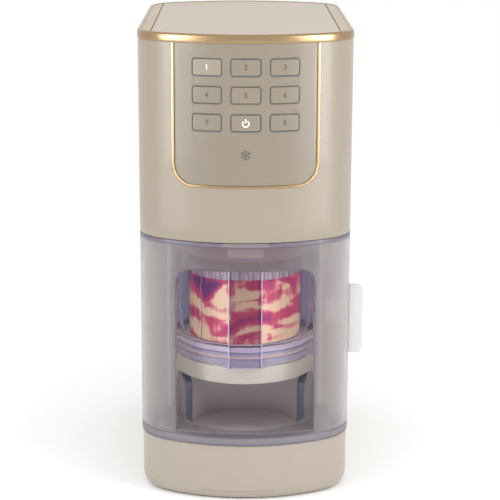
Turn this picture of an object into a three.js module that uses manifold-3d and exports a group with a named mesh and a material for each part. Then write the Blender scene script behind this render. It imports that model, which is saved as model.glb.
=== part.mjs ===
// A countertop ice cream maker: a tall D-shaped housing whose head holds the drive, a clear door that swings round
// the front, and a lifting platform that carries an outer bowl, a tub of frozen mix, a lid and a blade.
// Millimetres, +Z up. x is across the machine, -Y is the front, and z = 0 is the worktop.
import * as THREE from "three";
import { mergeVertices } from "three/addons/utils/BufferGeometryUtils.js";
import Module from "manifold-3d";

const wasm = await Module();
wasm.setup();

// ---- Driving dimensions ----
const HALF_WIDTH = 90;
const FRONT_RADIUS = 138; // the shallow front arc of the body's outline
const FRONT_CORNER = 41; // the radius that joins it to the straight sides
const REAR_RADIUS = FRONT_RADIUS;
const REAR_CORNER = FRONT_CORNER;
const REAR_CORNER_Y = 204; // centre of the rear corners, counted from the centre of the front corners
const HANDLE_REACH = 12.2; // how far the door's tab stands out past the side
const GAP = 0.3; // between pieces that touch

const BASE_BOTTOM = 2;
const BASE_TOP = 49.1;
const BASE_INSET = 1.5; // the base is a little smaller than the door above it
const CHAMBER_FLOOR = 58.5;
const HEAD_BOTTOM = 226.8;
const RIM_BOTTOM = 391.4;
const HEIGHT = 398.5;
const WALL = 2.5;

const BAY_Y = 24; // the axis of the bowl, the platform and the spindle
const BAY_RADIUS = 66;
const PLATFORM_RADIUS = 61;
const PLATFORM_BOTTOM = 99.3;
const PLATFORM_TOP = 114.4;
const CRADLE_OUTER = 60.5;
const CRADLE_INNER = 53.2;
const CRADLE_OPENING = THREE.MathUtils.degToRad(58.7); // each side of the front
const WELL_FLOOR = 38.4;

const BOWL_RADIUS = 60;
const BOWL_WALL = 2.6;
const BOWL_TOP = 206;
const BOWL_FLOOR = 129; // the inside of the bowl's floor
const TUB_RADIUS = 50.5;
const TUB_TOP = 203;
const MIX_TOP = 195;
const LID_TOP = 222;
const BLADE_BOTTOM = 197.5;
const BLADE_TOP = 204.5;
const SHAFT_RADIUS = 5;
const STEM_TOP = 236;

const DOOR_BOTTOM = 49.7;
const DOOR_TOP = 226.3;
const DOOR_THICKNESS = 2.6;
const DOOR_REAR_Y = 28;
const HINGE_X = -84;
const HINGE_Y = 24;
const PIN_RADIUS = 1.7;

const GEAR_MODULE = 2.5;
const GEAR_TEETH = 36;
const PINION_TEETH = 13;
const MOTOR_Y = BAY_Y + (GEAR_MODULE * (GEAR_TEETH + PINION_TEETH)) / 2;
const LIFT_MODULE = 1.5;
const LIFT_GEAR_TEETH = 24;
const LIFT_PINION_TEETH = 12;
const LIFT_SCREW_Y = 112;
const LIFT_MOTOR_X = (LIFT_MODULE * (LIFT_GEAR_TEETH + LIFT_PINION_TEETH)) / 2;
const FEED_X = 26; // the feed screw and the guide rod stand this far each side of the spindle

const KEY_WIDTH = 25.6;
const KEY_HEIGHT = 15.2;
const KEY_CORNER = 3;
const KEY_GROOVE = 1.1;
const KEY_COLUMNS = [-31.7, 0, 31.7];
const KEY_ROWS = [372, 349.5, 326.9];
const PANEL_HALF = 58.3;
const PANEL_BOTTOM = 275;
const PANEL_CORNER = 17;
const TRIM_WIDTH = 2.6;

// ---- Materials ----
const material = (color, roughness, metalness = 0, opacity = 1) =>
  new THREE.MeshStandardMaterial({ color, roughness, metalness, opacity, transparent: opacity < 1 });
const SHELL = material(0xc0b4a2, 0.45);
const LIGHT_SHELL = material(0xd0c6b8, 0.5);
const GOLD = material(0xc9a063, 0.25, 1);
const CLEAR = material(0xdcdce4, 0.1, 0, 0.35);
const FROSTED = material(0xb4b0b8, 0.5, 0, 0.7);
const DARK = material(0x55555a, 0.5);
const RUBBER = material(0x2a2a2a, 0.9);
const STEEL = material(0xb8bcc0, 0.3, 1);
const BRASS = material(0xb59a5b, 0.35, 1);
const WHITE_PLASTIC = material(0xe8e6e0, 0.5);
const BOARD = material(0x2f6b45, 0.6);
const MIX = material(0xe4c9a4, 0.8);

// ---- Solids ----
const ROUND = 36; // sides of a large round piece
const solid = (geometry) => {
  const plain = new THREE.BufferGeometry().setAttribute(
    "position",
    (geometry.index ? geometry.toNonIndexed() : geometry).getAttribute("position"),
  );
  const merged = mergeVertices(plain, 1e-4);
  return new wasm.Manifold(
    new wasm.Mesh({
      numProp: 3,
      vertProperties: merged.attributes.position.array,
      triVerts: new Uint32Array(merged.index.array),
    }),
  );
};

const geometryOf = (body) => {
  const mesh = body.getMesh();
  const geometry = new THREE.BufferGeometry();
  geometry.setAttribute("position", new THREE.BufferAttribute(mesh.vertProperties, 3));
  geometry.setIndex(new THREE.BufferAttribute(mesh.triVerts, 1));
  geometry.computeVertexNormals();
  return geometry;
};

const prism = (shape, low, high, curveSegments = 6) =>
  solid(
    new THREE.ExtrudeGeometry(shape, { depth: high - low, bevelEnabled: false, curveSegments }).translate(0, 0, low),
  );

// A shape drawn in x and z, carried from y = front to y = rear.
const facing = (shape, front, rear, curveSegments = 5) =>
  solid(
    new THREE.ExtrudeGeometry(shape, { depth: rear - front, bevelEnabled: false, curveSegments })
      .rotateX(Math.PI / 2)
      .translate(0, rear, 0),
  );

const box = (x0, x1, y0, y1, z0, z1) =>
  solid(
    new THREE.BoxGeometry(x1 - x0, y1 - y0, z1 - z0).translate((x0 + x1) / 2, (y0 + y1) / 2, (z0 + z1) / 2),
  );

const cylinder = (x, y, radius, low, high, segments = 24) =>
  solid(
    new THREE.CylinderGeometry(radius, radius, high - low, segments)
      .rotateX(Math.PI / 2)
      .translate(x, y, (low + high) / 2),
  );

const tube = (x, y, outer, inner, low, high, segments = 24) =>
  cylinder(x, y, outer, low, high, segments).subtract(cylinder(x, y, inner, low - 1, high + 1, segments));

// A solid of revolution about a vertical axis, from a closed profile of [radius, z] pairs.
const revolved = (x, y, profile, segments = ROUND) => {
  const points = profile.map(([r, z]) => new THREE.Vector2(r, z));
  return solid(
    new THREE.LatheGeometry([...points, points[0]], segments).rotateX(Math.PI / 2).translate(x, y, 0),
  );
};

const roundedRectangle = (cx, cy, width, height, radius) => {
  const [x0, x1, y0, y1] = [cx - width / 2, cx + width / 2, cy - height / 2, cy + height / 2];
  const shape = new THREE.Shape();
  shape.absarc(x1 - radius, y0 + radius, radius, -Math.PI / 2, 0, false);
  shape.absarc(x1 - radius, y1 - radius, radius, 0, Math.PI / 2, false);
  shape.absarc(x0 + radius, y1 - radius, radius, Math.PI / 2, Math.PI, false);
  shape.absarc(x0 + radius, y0 + radius, radius, Math.PI, Math.PI * 1.5, false);
  return shape;
};

// The body's outline seen from above, moved inwards by inset.
const outline = (inset) => {
  const frontX = HALF_WIDTH - FRONT_CORNER;
  const frontY = Math.sqrt((FRONT_RADIUS - FRONT_CORNER) ** 2 - frontX ** 2);
  const frontTurn = Math.atan2(frontX, frontY);
  const rearX = HALF_WIDTH - REAR_CORNER;
  const rearDrop = Math.sqrt((REAR_RADIUS - REAR_CORNER) ** 2 - rearX ** 2);
  const rearTurn = Math.atan2(rearX, rearDrop);
  const quarter = Math.PI / 2;
  const shape = new THREE.Shape();
  shape.absarc(0, frontY, FRONT_RADIUS - inset, -quarter - frontTurn, -quarter + frontTurn, false);
  shape.absarc(frontX, 0, FRONT_CORNER - inset, -quarter + frontTurn, 0, false);
  shape.absarc(rearX, REAR_CORNER_Y, REAR_CORNER - inset, 0, quarter - rearTurn, false);
  shape.absarc(0, REAR_CORNER_Y - rearDrop, REAR_RADIUS - inset, quarter - rearTurn, quarter + rearTurn, false);
  shape.absarc(-rearX, REAR_CORNER_Y, REAR_CORNER - inset, quarter + rearTurn, 2 * quarter, false);
  shape.absarc(-frontX, 0, FRONT_CORNER - inset, 2 * quarter, 3 * quarter - frontTurn, false);
  return shape;
};

const FRONT_Y = -(FRONT_RADIUS - Math.sqrt((FRONT_RADIUS - FRONT_CORNER) ** 2 - (HALF_WIDTH - FRONT_CORNER) ** 2));
const REAR_Y =
  REAR_CORNER_Y - Math.sqrt((REAR_RADIUS - REAR_CORNER) ** 2 - (HALF_WIDTH - REAR_CORNER) ** 2) + REAR_RADIUS;

const body = (inset, low, high) => prism(outline(inset), low, high);
const skin = (outerInset, innerInset, low, high) =>
  body(outerInset, low, high).subtract(body(innerInset, low - 1, high + 1));

// A wedge about the bay's axis, open to the front, used to cut or keep a sector.
const frontSector = (halfAngle, radius, low, high) => {
  const shape = new THREE.Shape();
  shape.absarc(0, BAY_Y, radius, -Math.PI / 2 - halfAngle, -Math.PI / 2 + halfAngle, false);
  shape.lineTo(0, BAY_Y);
  return prism(shape, low, high);
};

// A spur gear's outline with involute flanks.
const gearShape = (module_, teeth) => {
  const pressure = THREE.MathUtils.degToRad(25);
  const pitch = (module_ * teeth) / 2;
  const base = pitch * Math.cos(pressure);
  const tip = pitch + 0.8 * module_;
  const root = pitch - module_;
  const backlash = 0.35;
  const involute = (r) => {
    const a = Math.acos(Math.min(1, base / r));
    return Math.tan(a) - a;
  };
  const halfTooth = (Math.PI * module_ / 2 - backlash) / (2 * pitch) + involute(pitch);
  const flank = [0, 1].map((t) => {
    const from = Math.max(base, root);
    const r = from + t * (tip - from);
    return [r, halfTooth - involute(r)];
  });
  const points = [];
  for (let i = 0; i < teeth; i++) {
    const centre = (2 * Math.PI * i) / teeth;
    const at = (r, a) => new THREE.Vector2(r * Math.cos(centre + a), r * Math.sin(centre + a));
    points.push(at(root, -flank[0][1]));
    flank.forEach(([r, a]) => points.push(at(r, -a)));
    [...flank].reverse().forEach(([r, a]) => points.push(at(r, a)));
    points.push(at(root, flank[0][1]));
  }
  return new THREE.Shape(points);
};

// ---- Housing ----
const baseShell = () => {
  const plinthHalf = 75; // clears the door's hinge
  const plinth = (inset, top) =>
    body(6 + inset, BASE_BOTTOM, top).intersect(
      box(-plinthHalf + inset, plinthHalf - inset, -60, 104 - inset, 0, 80),
    );
  const glandZ = 24;
  return body(BASE_INSET, BASE_BOTTOM, BASE_TOP)
    .add(plinth(0, CHAMBER_FLOOR))
    .subtract(body(BASE_INSET + WALL, BASE_BOTTOM - 1, BASE_TOP - WALL))
    .subtract(plinth(WALL, CHAMBER_FLOOR - WALL))
    .subtract(cylinder(0, BAY_Y, 63.5, BASE_BOTTOM, 80, ROUND))
    .subtract(box(-31, 47, 95, 140, CHAMBER_FLOOR - 10, 80))
    .subtract(glandHole(glandZ));
};

const glandHole = (z) =>
  solid(new THREE.CylinderGeometry(7.3, 7.3, 20, 16).translate(0, REAR_Y - 4, z));

const cordGland = () => {
  const z = 24;
  const profile = [
    [3.6, -6],
    [7, -6],
    [7, 0.6],
    [9.5, 0.6],
    [9.5, 2.6],
    [3.6, 2.6],
  ].map(([r, h]) => new THREE.Vector2(r, h));
  return solid(new THREE.LatheGeometry([...profile, profile[0]], 20).translate(0, REAR_Y - BASE_INSET, z));
};

const baseCover = () => {
  const ribs = [-30, 0, 30].map((x) => box(x - 5, x + 5, 120, 170, 0, 20));
  return ribs.reduce((plate, slot) => plate.subtract(slot), body(BASE_INSET + WALL + GAP, 3.5, 6));
};

const foot = (x, y) => {
  const profile = [
    [0, 0],
    [8, 0],
    [9, 1],
    [9, 3.2],
    [0, 3.2],
  ].map(([r, z]) => new THREE.Vector2(r, z));
  return solid(new THREE.LatheGeometry(profile, 20).rotateX(Math.PI / 2).translate(x, y, 0));
};

const wellLiner = () => {
  const slot = tube(0, BAY_Y, 61.3, CRADLE_INNER - GAP, 30, WELL_FLOOR + 0.01, ROUND).subtract(
    frontSector(CRADLE_OPENING - 0.02, 90, 20, 70),
  );
  return revolved(0, BAY_Y, [
    [0.01, WELL_FLOOR - 2],
    [63.2, WELL_FLOOR - 2],
    [63.2, CHAMBER_FLOOR - GAP],
    [61.3, CHAMBER_FLOOR - GAP],
    [61.3, WELL_FLOOR],
    [0.01, WELL_FLOOR],
  ])
    .add(cylinder(0, BAY_Y, 1, WELL_FLOOR - 2, WELL_FLOOR, 12))
    .subtract(slot);
};

const columnShell = () => {
  const behind = (y, low, high) => box(-100, 100, y, 260, low, high);
  const top = HEAD_BOTTOM - 0.4;
  const low = BASE_TOP + GAP;
  return body(0, low, top)
    .intersect(behind(32, low, top))
    .subtract(body(WALL, low - 1, top + 1).intersect(behind(32 + WALL, low - 1, top + 1)))
    .subtract(cylinder(0, BAY_Y, BAY_RADIUS + WALL, low - 1, top + 1, ROUND))
    .subtract(box(-79, 79, 20, 105, low - 1, CHAMBER_FLOOR + GAP))
    .subtract(box(-58, 58, 190, 260, 70, 212));
};

const serviceCover = () =>
  skin(0, WALL, 70 + GAP, 212 - GAP)
    .intersect(box(-58 + GAP, 58 - GAP, 190, 260, 60, 220))
    .subtract(box(-12, 12, REAR_Y - 1.2, REAR_Y + 5, 190, 200));

const chamberLiner = () =>
  tube(0, BAY_Y, BAY_RADIUS + 2.2, BAY_RADIUS, CHAMBER_FLOOR + GAP, HEAD_BOTTOM - GAP, ROUND)
    .intersect(box(-80, 80, BAY_Y + 2, 120, 0, 300))
    .subtract(box(-9.5, 9.5, 80, 120, 60.5, 97));

const panelShape = (half, bottom, top, corner) => {
  const shape = new THREE.Shape();
  shape.absarc(-half + corner, bottom + corner, corner, Math.PI, Math.PI * 1.5, false);
  shape.absarc(half - corner, bottom + corner, corner, Math.PI * 1.5, Math.PI * 2, false);
  shape.lineTo(half, top);
  shape.lineTo(-half, top);
  return shape;
};
const PANEL_TOP = RIM_BOTTOM - GAP;
const panelRegion = (grow) =>
  facing(
    panelShape(PANEL_HALF + grow, PANEL_BOTTOM - grow, PANEL_TOP + (grow > 0 ? 5 : 0), PANEL_CORNER + grow),
    FRONT_Y - 5,
    0,
  );
const keyRegion = (x, z, shrink, front, rear) =>
  facing(
    roundedRectangle(x, z, KEY_WIDTH - 2 * shrink, KEY_HEIGHT - 2 * shrink, KEY_CORNER - shrink),
    front,
    rear,
    2,
  );

const VENT = { half: 46, low: 300, high: 366 };
const headShell = () => {
  const wall = 3.5;
  const recess = skin(-5, 1.9, HEAD_BOTTOM - 1, 420).intersect(panelRegion(TRIM_WIDTH + GAP));
  let shell = skin(0, wall, HEAD_BOTTOM, PANEL_TOP)
    .subtract(recess)
    .subtract(box(-VENT.half, VENT.half, 190, 260, VENT.low, VENT.high));
  for (const x of KEY_COLUMNS) for (const z of KEY_ROWS) shell = shell.subtract(keyRegion(x, z, 0, FRONT_Y - 5, -30));
  return shell;
};

const ventGrille = () => {
  let grille = skin(0, 3.5, VENT.low + GAP, VENT.high - GAP).intersect(
    box(-VENT.half + GAP, VENT.half - GAP, 190, 260, 200, 400),
  );
  for (let z = VENT.low + 8; z < VENT.high - 6; z += 8) grille = grille.subtract(box(-38, 38, 190, 260, z, z + 3.5));
  return grille;
};

const controlPanel = () => {
  let panel = skin(0, 1.6, HEAD_BOTTOM, PANEL_TOP).intersect(panelRegion(0));
  for (const x of KEY_COLUMNS) for (const z of KEY_ROWS) panel = panel.subtract(keyRegion(x, z, 0, FRONT_Y - 5, -30));
  return panel;
};

const panelTrim = () =>
  skin(-0.4, 1.6, HEAD_BOTTOM, PANEL_TOP).intersect(panelRegion(TRIM_WIDTH)).subtract(panelRegion(GAP / 2));

const KEY_STEM_END = -38.2;
const key = (x, z) =>
  skin(-0.2, 3.2, HEAD_BOTTOM, PANEL_TOP)
    .intersect(keyRegion(x, z, KEY_GROOVE, FRONT_Y - 5, -30))
    .add(
      box(x - 4, x + 4, -60, KEY_STEM_END, z - 3, z + 3).intersect(body(1, HEAD_BOTTOM, PANEL_TOP)),
    );

const keyBoard = () => {
  let board = box(-50, 50, -37, -35.4, 312, 386);
  for (const x of KEY_COLUMNS) board = board.add(box(x - 6, x + 6, -35.5, -32, 356, 364));
  return board.add(box(-30, -10, -35.5, -29, 314, 320));
};

const headFloor = () => {
  const socket = revolved(0, BAY_Y, [
    [16, HEAD_BOTTOM],
    [22, HEAD_BOTTOM],
    [22, 236.5],
    [16, 236.5],
  ]);
  return body(3.5 + GAP, HEAD_BOTTOM, HEAD_BOTTOM + 3)
    .subtract(cylinder(0, BAY_Y, 20, HEAD_BOTTOM - 1, 240, 32))
    .add(socket);
};

const DECK_HALF = 77.7;
const deckRegion = (inset, low, high) =>
  body(2.5 + inset, low, high).intersect(box(-DECK_HALF + inset, DECK_HALF - inset, -90, 290, low, high));

const goldRim = () =>
  body(-0.5, RIM_BOTTOM, HEIGHT)
    .subtract(deckRegion(0, HEIGHT - 3.6, HEIGHT + 1))
    .subtract(body(17, RIM_BOTTOM - 1, HEIGHT));

const topDeck = () => deckRegion(GAP, HEIGHT - 3.3, HEIGHT - 0.5);

// ---- Door ----
const doorSkin = (outerInset, innerInset, low, high) =>
  skin(outerInset, innerInset, low, high).intersect(box(-100, 100, -80, DOOR_REAR_Y, low, high));

const WINDOW = { half: 58.8, low: 58.6, high: 203, corner: 14 };
const windowShape = (shrink) => {
  const half = WINDOW.half - shrink;
  const [low, high, r] = [WINDOW.low + shrink, WINDOW.high - shrink, WINDOW.corner];
  const shape = new THREE.Shape();
  shape.moveTo(-half, low);
  shape.lineTo(half, low);
  shape.absarc(half - r, high - r, r, 0, Math.PI / 2, false);
  shape.absarc(-half + r, high - r, r, Math.PI / 2, Math.PI, false);
  return shape;
};

const doorShell = () => {
  const flangeFront = box(-100, 100, -80, 12, 0, 300);
  const topFlange = doorSkin(1, 5.6, DOOR_TOP - 3.2, DOOR_TOP)
    .intersect(flangeFront)
    .subtract(box(-18, 18, -80, 0, 0, 300));
  const bottomFlange = doorSkin(1, 5.6, DOOR_BOTTOM, DOOR_BOTTOM + 2.4).intersect(flangeFront);
  const arm = (low, high) =>
    tube(HINGE_X, HINGE_Y, 4.6, PIN_RADIUS + GAP, low, high, 16).add(
      box(-88.5, HINGE_X - 2.2, HINGE_Y - 4, HINGE_Y + 3.6, low, high),
    );
  return doorSkin(0, DOOR_THICKNESS, DOOR_BOTTOM, DOOR_TOP)
    .add(topFlange)
    .add(bottomFlange)
    .add(arm(DOOR_BOTTOM + 0.4, DOOR_BOTTOM + 7))
    .add(arm(DOOR_TOP - 7.4, DOOR_TOP - 0.8))
    .subtract(facing(windowShape(0), -80, -20));
};

const doorWindow = () => skin(0.2, 2.4, DOOR_BOTTOM, DOOR_TOP).intersect(facing(windowShape(GAP), -80, -20));

const doorHandle = () => {
  const [x0, x1, low, high, r] = [HALF_WIDTH + GAP, HALF_WIDTH + HANDLE_REACH, 116.5, 178, 10.5];
  const shape = new THREE.Shape();
  shape.absarc(x1 - r, low + r, r, -Math.PI / 2, 0, false);
  shape.absarc(x1 - r, high - r, r, 0, Math.PI / 2, false);
  shape.lineTo(x0, high);
  shape.lineTo(x0, low);
  return facing(shape, 0, 3.4);
};

const hingePin = (low, high) =>
  cylinder(HINGE_X, HINGE_Y, PIN_RADIUS, low, high, 16);

const doorCatch = () => box(71, 82, 29.2, 31.6, 136, 158);

// ---- Lifting platform ----
const LIFT_ARM = { low: 82, high: 92 };
const liftCradle = () =>
  tube(0, BAY_Y, CRADLE_OUTER, CRADLE_INNER, 33, PLATFORM_BOTTOM - GAP, ROUND).subtract(
    frontSector(CRADLE_OPENING, 90, 20, PLATFORM_BOTTOM + 1),
  );

const liftBracket = () =>
  box(-8, 8, BAY_Y + CRADLE_OUTER + GAP, LIFT_SCREW_Y + 8, LIFT_ARM.low, LIFT_ARM.high).subtract(
    cylinder(0, LIFT_SCREW_Y, 5.1, 70, 100, 16),
  );

const platform = () => {
  let deck = revolved(0, BAY_Y, [
    [45, PLATFORM_BOTTOM],
    [PLATFORM_RADIUS, PLATFORM_BOTTOM],
    [PLATFORM_RADIUS, PLATFORM_TOP - 1],
    [PLATFORM_RADIUS - 1, PLATFORM_TOP],
    [51.5, PLATFORM_TOP],
    [51.5, 110],
    [45, 110],
  ]).add(cylinder(0, BAY_Y, 45.5, 105, 110, ROUND));
  for (const turn of [45, 135, 225, 315]) {
    const a = THREE.MathUtils.degToRad(turn);
    deck = deck.add(cylinder(36 * Math.cos(a), BAY_Y + 36 * Math.sin(a), 5, 108, 118, 12));
  }
  return deck;
};

const liftScrew = () =>
  cylinder(0, LIFT_SCREW_Y, 4.8, 54, 147, 16);
const liftGear = () =>
  prism(gearShape(LIFT_MODULE, LIFT_GEAR_TEETH), 130, 138)
    .translate([0, LIFT_SCREW_Y, 0])
    .subtract(cylinder(0, LIFT_SCREW_Y, 5.1, 120, 150, 16));
const liftPinion = () => {
  const mesh = 180 / LIFT_PINION_TEETH; // turned half a tooth to sit between the gear's teeth
  return prism(gearShape(LIFT_MODULE, LIFT_PINION_TEETH), 130, 138)
    .rotate([0, 0, mesh])
    .add(cylinder(0, 0, 3, 128, 150, 12))
    .translate([LIFT_MOTOR_X, LIFT_SCREW_Y, 0]);
};
const liftMotor = () =>
  cylinder(LIFT_MOTOR_X, LIFT_SCREW_Y, 14, 147.3, 182, 24)
    .add(cylinder(LIFT_MOTOR_X, LIFT_SCREW_Y, 6, 181, 186, 16))
    .subtract(cylinder(LIFT_MOTOR_X, LIFT_SCREW_Y, 3.4, 140, 151, 12));
const liftFrame = () =>
  box(-30, 46, 132, 135, 49.4 + GAP, 147)
    .add(box(-14, 14, 96, 133, 49.4 + GAP, 58))
    .add(box(-14, 46, 96, 133, 144, 147))
    .subtract(cylinder(0, LIFT_SCREW_Y, 5.1, 53.7, 160, 16))
    .subtract(cylinder(LIFT_MOTOR_X, LIFT_SCREW_Y, 3.4, 120, 160, 12));

// ---- Bowl, tub, lid and blade ----
const HANDLE = { half: 14, front: -49, wall: 2.4, low: 117, high: 212 };
const outerBowl = () => {
  const cup = revolved(0, BAY_Y, [
    [52, PLATFORM_TOP + GAP],
    [BOWL_RADIUS, PLATFORM_TOP + GAP],
    [BOWL_RADIUS, BOWL_TOP],
    [BOWL_RADIUS - BOWL_WALL, BOWL_TOP],
    [BOWL_RADIUS - BOWL_WALL, BOWL_FLOOR],
    [0.01, BOWL_FLOOR],
    [0.01, BOWL_FLOOR - BOWL_WALL],
    [52, BOWL_FLOOR - BOWL_WALL],
  ]).add(cylinder(0, BAY_Y, 1, BOWL_FLOOR - BOWL_WALL, BOWL_FLOOR, 12));
  const { half, front, wall, low, high } = HANDLE;
  const outside = cylinder(0, BAY_Y, BOWL_RADIUS - 1, 100, BOWL_TOP + 0.01, ROUND);
  const channel = box(-half, half, front, -30, low, BOWL_TOP)
    .subtract(box(-half + wall, half - wall, front + wall, -25, low + wall, BOWL_TOP + 1))
    .subtract(outside);
  const plate = box(-half, half, front, front + wall, low, high);
  return cup.add(channel).add(plate);
};

const tub = () =>
  revolved(0, BAY_Y, [
    [0.01, BOWL_FLOOR + GAP],
    [TUB_RADIUS - 1, BOWL_FLOOR + GAP],
    [TUB_RADIUS, TUB_TOP - 4],
    [TUB_RADIUS + 2.5, TUB_TOP - 4],
    [TUB_RADIUS + 2.5, TUB_TOP],
    [TUB_RADIUS - 1.5, TUB_TOP],
    [TUB_RADIUS - 2.5, BOWL_FLOOR + GAP + 1.6],
    [0.01, BOWL_FLOOR + GAP + 1.6],
  ]).add(cylinder(0, BAY_Y, 1, BOWL_FLOOR + GAP, BOWL_FLOOR + GAP + 1.6, 12));

const frozenMix = () => {
  const low = BOWL_FLOOR + 2 * GAP + 1.6;
  return revolved(0, BAY_Y, [
    [0.01, low],
    [TUB_RADIUS - 2.9, low],
    [TUB_RADIUS - 2, MIX_TOP],
    [0.01, MIX_TOP],
  ]).add(cylinder(0, BAY_Y, 1, low, MIX_TOP, 12));
};

const LID_RADIUS = 61.5;
const bowlLid = () => {
  const cap = revolved(0, BAY_Y, [
    [9, LID_TOP - 3.5],
    [56, LID_TOP - 3.5],
    [56, BOWL_TOP + GAP],
    [LID_RADIUS, BOWL_TOP + GAP],
    [LID_RADIUS, LID_TOP - 2],
    [LID_RADIUS - 2, LID_TOP],
    [13, LID_TOP],
    [13, STEM_TOP - 1.5],
    [9, STEM_TOP - 1.5],
  ]);
  const tab = box(-15, 15, -48.8, -34, HANDLE.high + 0.6, LID_TOP - 1.5).subtract(
    cylinder(0, BAY_Y, LID_RADIUS - 1, 200, 230, ROUND),
  );
  return cap.add(tab);
};

const lidSeal = () => tube(0, BAY_Y, 55.7, 54, 207, 211, ROUND);

// Turns in the lid's neck and carries the blade's stem, which slides through it.
const lidBush = () =>
  revolved(0, BAY_Y, [
    [SHAFT_RADIUS + GAP, 215.4],
    [12, 215.4],
    [12, LID_TOP - 3.8],
    [8.7, LID_TOP - 3.8],
    [8.7, STEM_TOP - 2.5],
    [SHAFT_RADIUS + GAP, STEM_TOP - 2.5],
  ], 20);

const TIP_RADIUS = 2.9;
const TIP_BOTTOM = 229;
const blade = () => {
  let wheel = cylinder(0, BAY_Y, 8, BLADE_BOTTOM, BLADE_TOP + 4, 24).add(
    cylinder(0, BAY_Y, SHAFT_RADIUS, BLADE_BOTTOM, STEM_TOP, 16),
  );
  for (let arm = 0; arm < 4; arm++) {
    const vane = box(6, 45, -2, 4, BLADE_BOTTOM, BLADE_BOTTOM + 2)
      .add(box(6, 45, -2, -0.2, BLADE_BOTTOM, BLADE_TOP))
      .rotate([0, 0, 90 * arm + 20])
      .translate([0, BAY_Y, 0]);
    wheel = wheel.add(vane);
  }
  const ring = tube(0, BAY_Y, 46.5, 43.5, BLADE_BOTTOM + 4, BLADE_TOP, 40);
  return wheel.add(ring).subtract(cylinder(0, BAY_Y, TIP_RADIUS + GAP, TIP_BOTTOM - GAP, STEM_TOP + 1, 12));
};

// ---- Spindle drive in the head ----
const CARRIAGE = { low: 350, high: 361 };
const spindle = () =>
  cylinder(0, BAY_Y, SHAFT_RADIUS, STEM_TOP + GAP, CARRIAGE.high + 3, 16)
    .add(cylinder(0, BAY_Y, TIP_RADIUS, TIP_BOTTOM, STEM_TOP + 1, 12))
    .add(cylinder(0, BAY_Y, 8, CARRIAGE.high + GAP, CARRIAGE.high + 3, 16))
    .add(cylinder(0, BAY_Y, 8, CARRIAGE.low - 3, CARRIAGE.low - GAP, 16));

const driveGear = () =>
  prism(gearShape(GEAR_MODULE, GEAR_TEETH), 246, 257)
    .add(cylinder(0, 0, 12, 241, 261, 24))
    .translate([0, BAY_Y, 0])
    .subtract(cylinder(0, BAY_Y, SHAFT_RADIUS + GAP, 230, 270, 16));

const feedCarriage = () =>
  box(-36, 36, BAY_Y - 10, BAY_Y + 10, CARRIAGE.low, CARRIAGE.high)
    .subtract(cylinder(0, BAY_Y, SHAFT_RADIUS + GAP, 340, 370, 16))
    .subtract(cylinder(-FEED_X, BAY_Y, 4.3, 340, 370, 16))
    .subtract(cylinder(FEED_X, BAY_Y, 4.3, 340, 370, 16));

const feedScrew = () => cylinder(FEED_X, BAY_Y, 4, 267, 370, 16);
const feedMotor = () =>
  cylinder(FEED_X, BAY_Y, 15, 367, 388, 24).subtract(cylinder(FEED_X, BAY_Y, 4.3, 360, 372, 16));

const driveFrame = () => {
  const legs = [
    [-57, BAY_Y],
    [57, BAY_Y],
    [-44, 122],
    [44, 122],
  ];
  let frame = box(-62, 62, 4, 128, 262.5, 266);
  for (const [x, y] of legs) frame = frame.add(box(x - 4, x + 4, y - 4, y + 4, HEAD_BOTTOM + 3 + GAP, 263));
  return frame
    .subtract(cylinder(0, BAY_Y, 9, 250, 280, 20))
    .subtract(cylinder(0, MOTOR_Y, 9, 250, 280, 20))
    .subtract(cylinder(FEED_X, BAY_Y, 2.5, 250, 280, 12))
    .add(cylinder(-FEED_X, BAY_Y, 4, 264, 386, 16));
};

const motorHousing = () =>
  revolved(0, MOTOR_Y, [
    [8, 266.3],
    [40, 266.3],
    [40, 336],
    [36, 341],
    [24, 341],
    [24, 270],
    [8, 270],
  ], 32);
const motorRotor = () =>
  cylinder(0, MOTOR_Y, 22, 274, 334, 20).add(cylinder(0, MOTOR_Y, 4.5, 242, 356, 12));
const motorPinion = () => {
  const mesh = PINION_TEETH % 2 ? 0 : 180 / PINION_TEETH;
  return prism(gearShape(GEAR_MODULE, PINION_TEETH), 246, 257)
    .rotate([0, 0, 90 + mesh])
    .subtract(cylinder(0, 0, 4.8, 240, 260, 12))
    .translate([0, MOTOR_Y, 0]);
};
const motorFan = () => {
  let fan = cylinder(0, 0, 9, 344, 354, 16);
  for (let vane = 0; vane < 9; vane++) fan = fan.add(box(7, 34, -0.8, 0.8, 344, 353).rotate([0, 0, vane * 40]));
  return fan
    .add(cylinder(0, 0, 34, 343, 344.2, 24))
    .subtract(cylinder(0, 0, 4.8, 340, 360, 12))
    .translate([0, MOTOR_Y, 0]);
};

const powerBoard = () => {
  let board = box(-55, 55, 170, 171.6, 70, 200);
  const parts = [
    [-35, 20, 150, 26],
    [5, 14, 160, 18],
    [30, 18, 110, 22],
    [-20, 12, 100, 14],
  ];
  for (const [x, width, z, depth] of parts)
    board = board.add(box(x - width / 2, x + width / 2, 171.5 - depth - 1.5, 170.5, z, z + 24));
  return board;
};

// ---- Assembly ----
const machine = new THREE.Group();
const add = (name, body_, look) => {
  const mesh = new THREE.Mesh(geometryOf(body_), look);
  mesh.name = name;
  machine.add(mesh);
};

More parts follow.
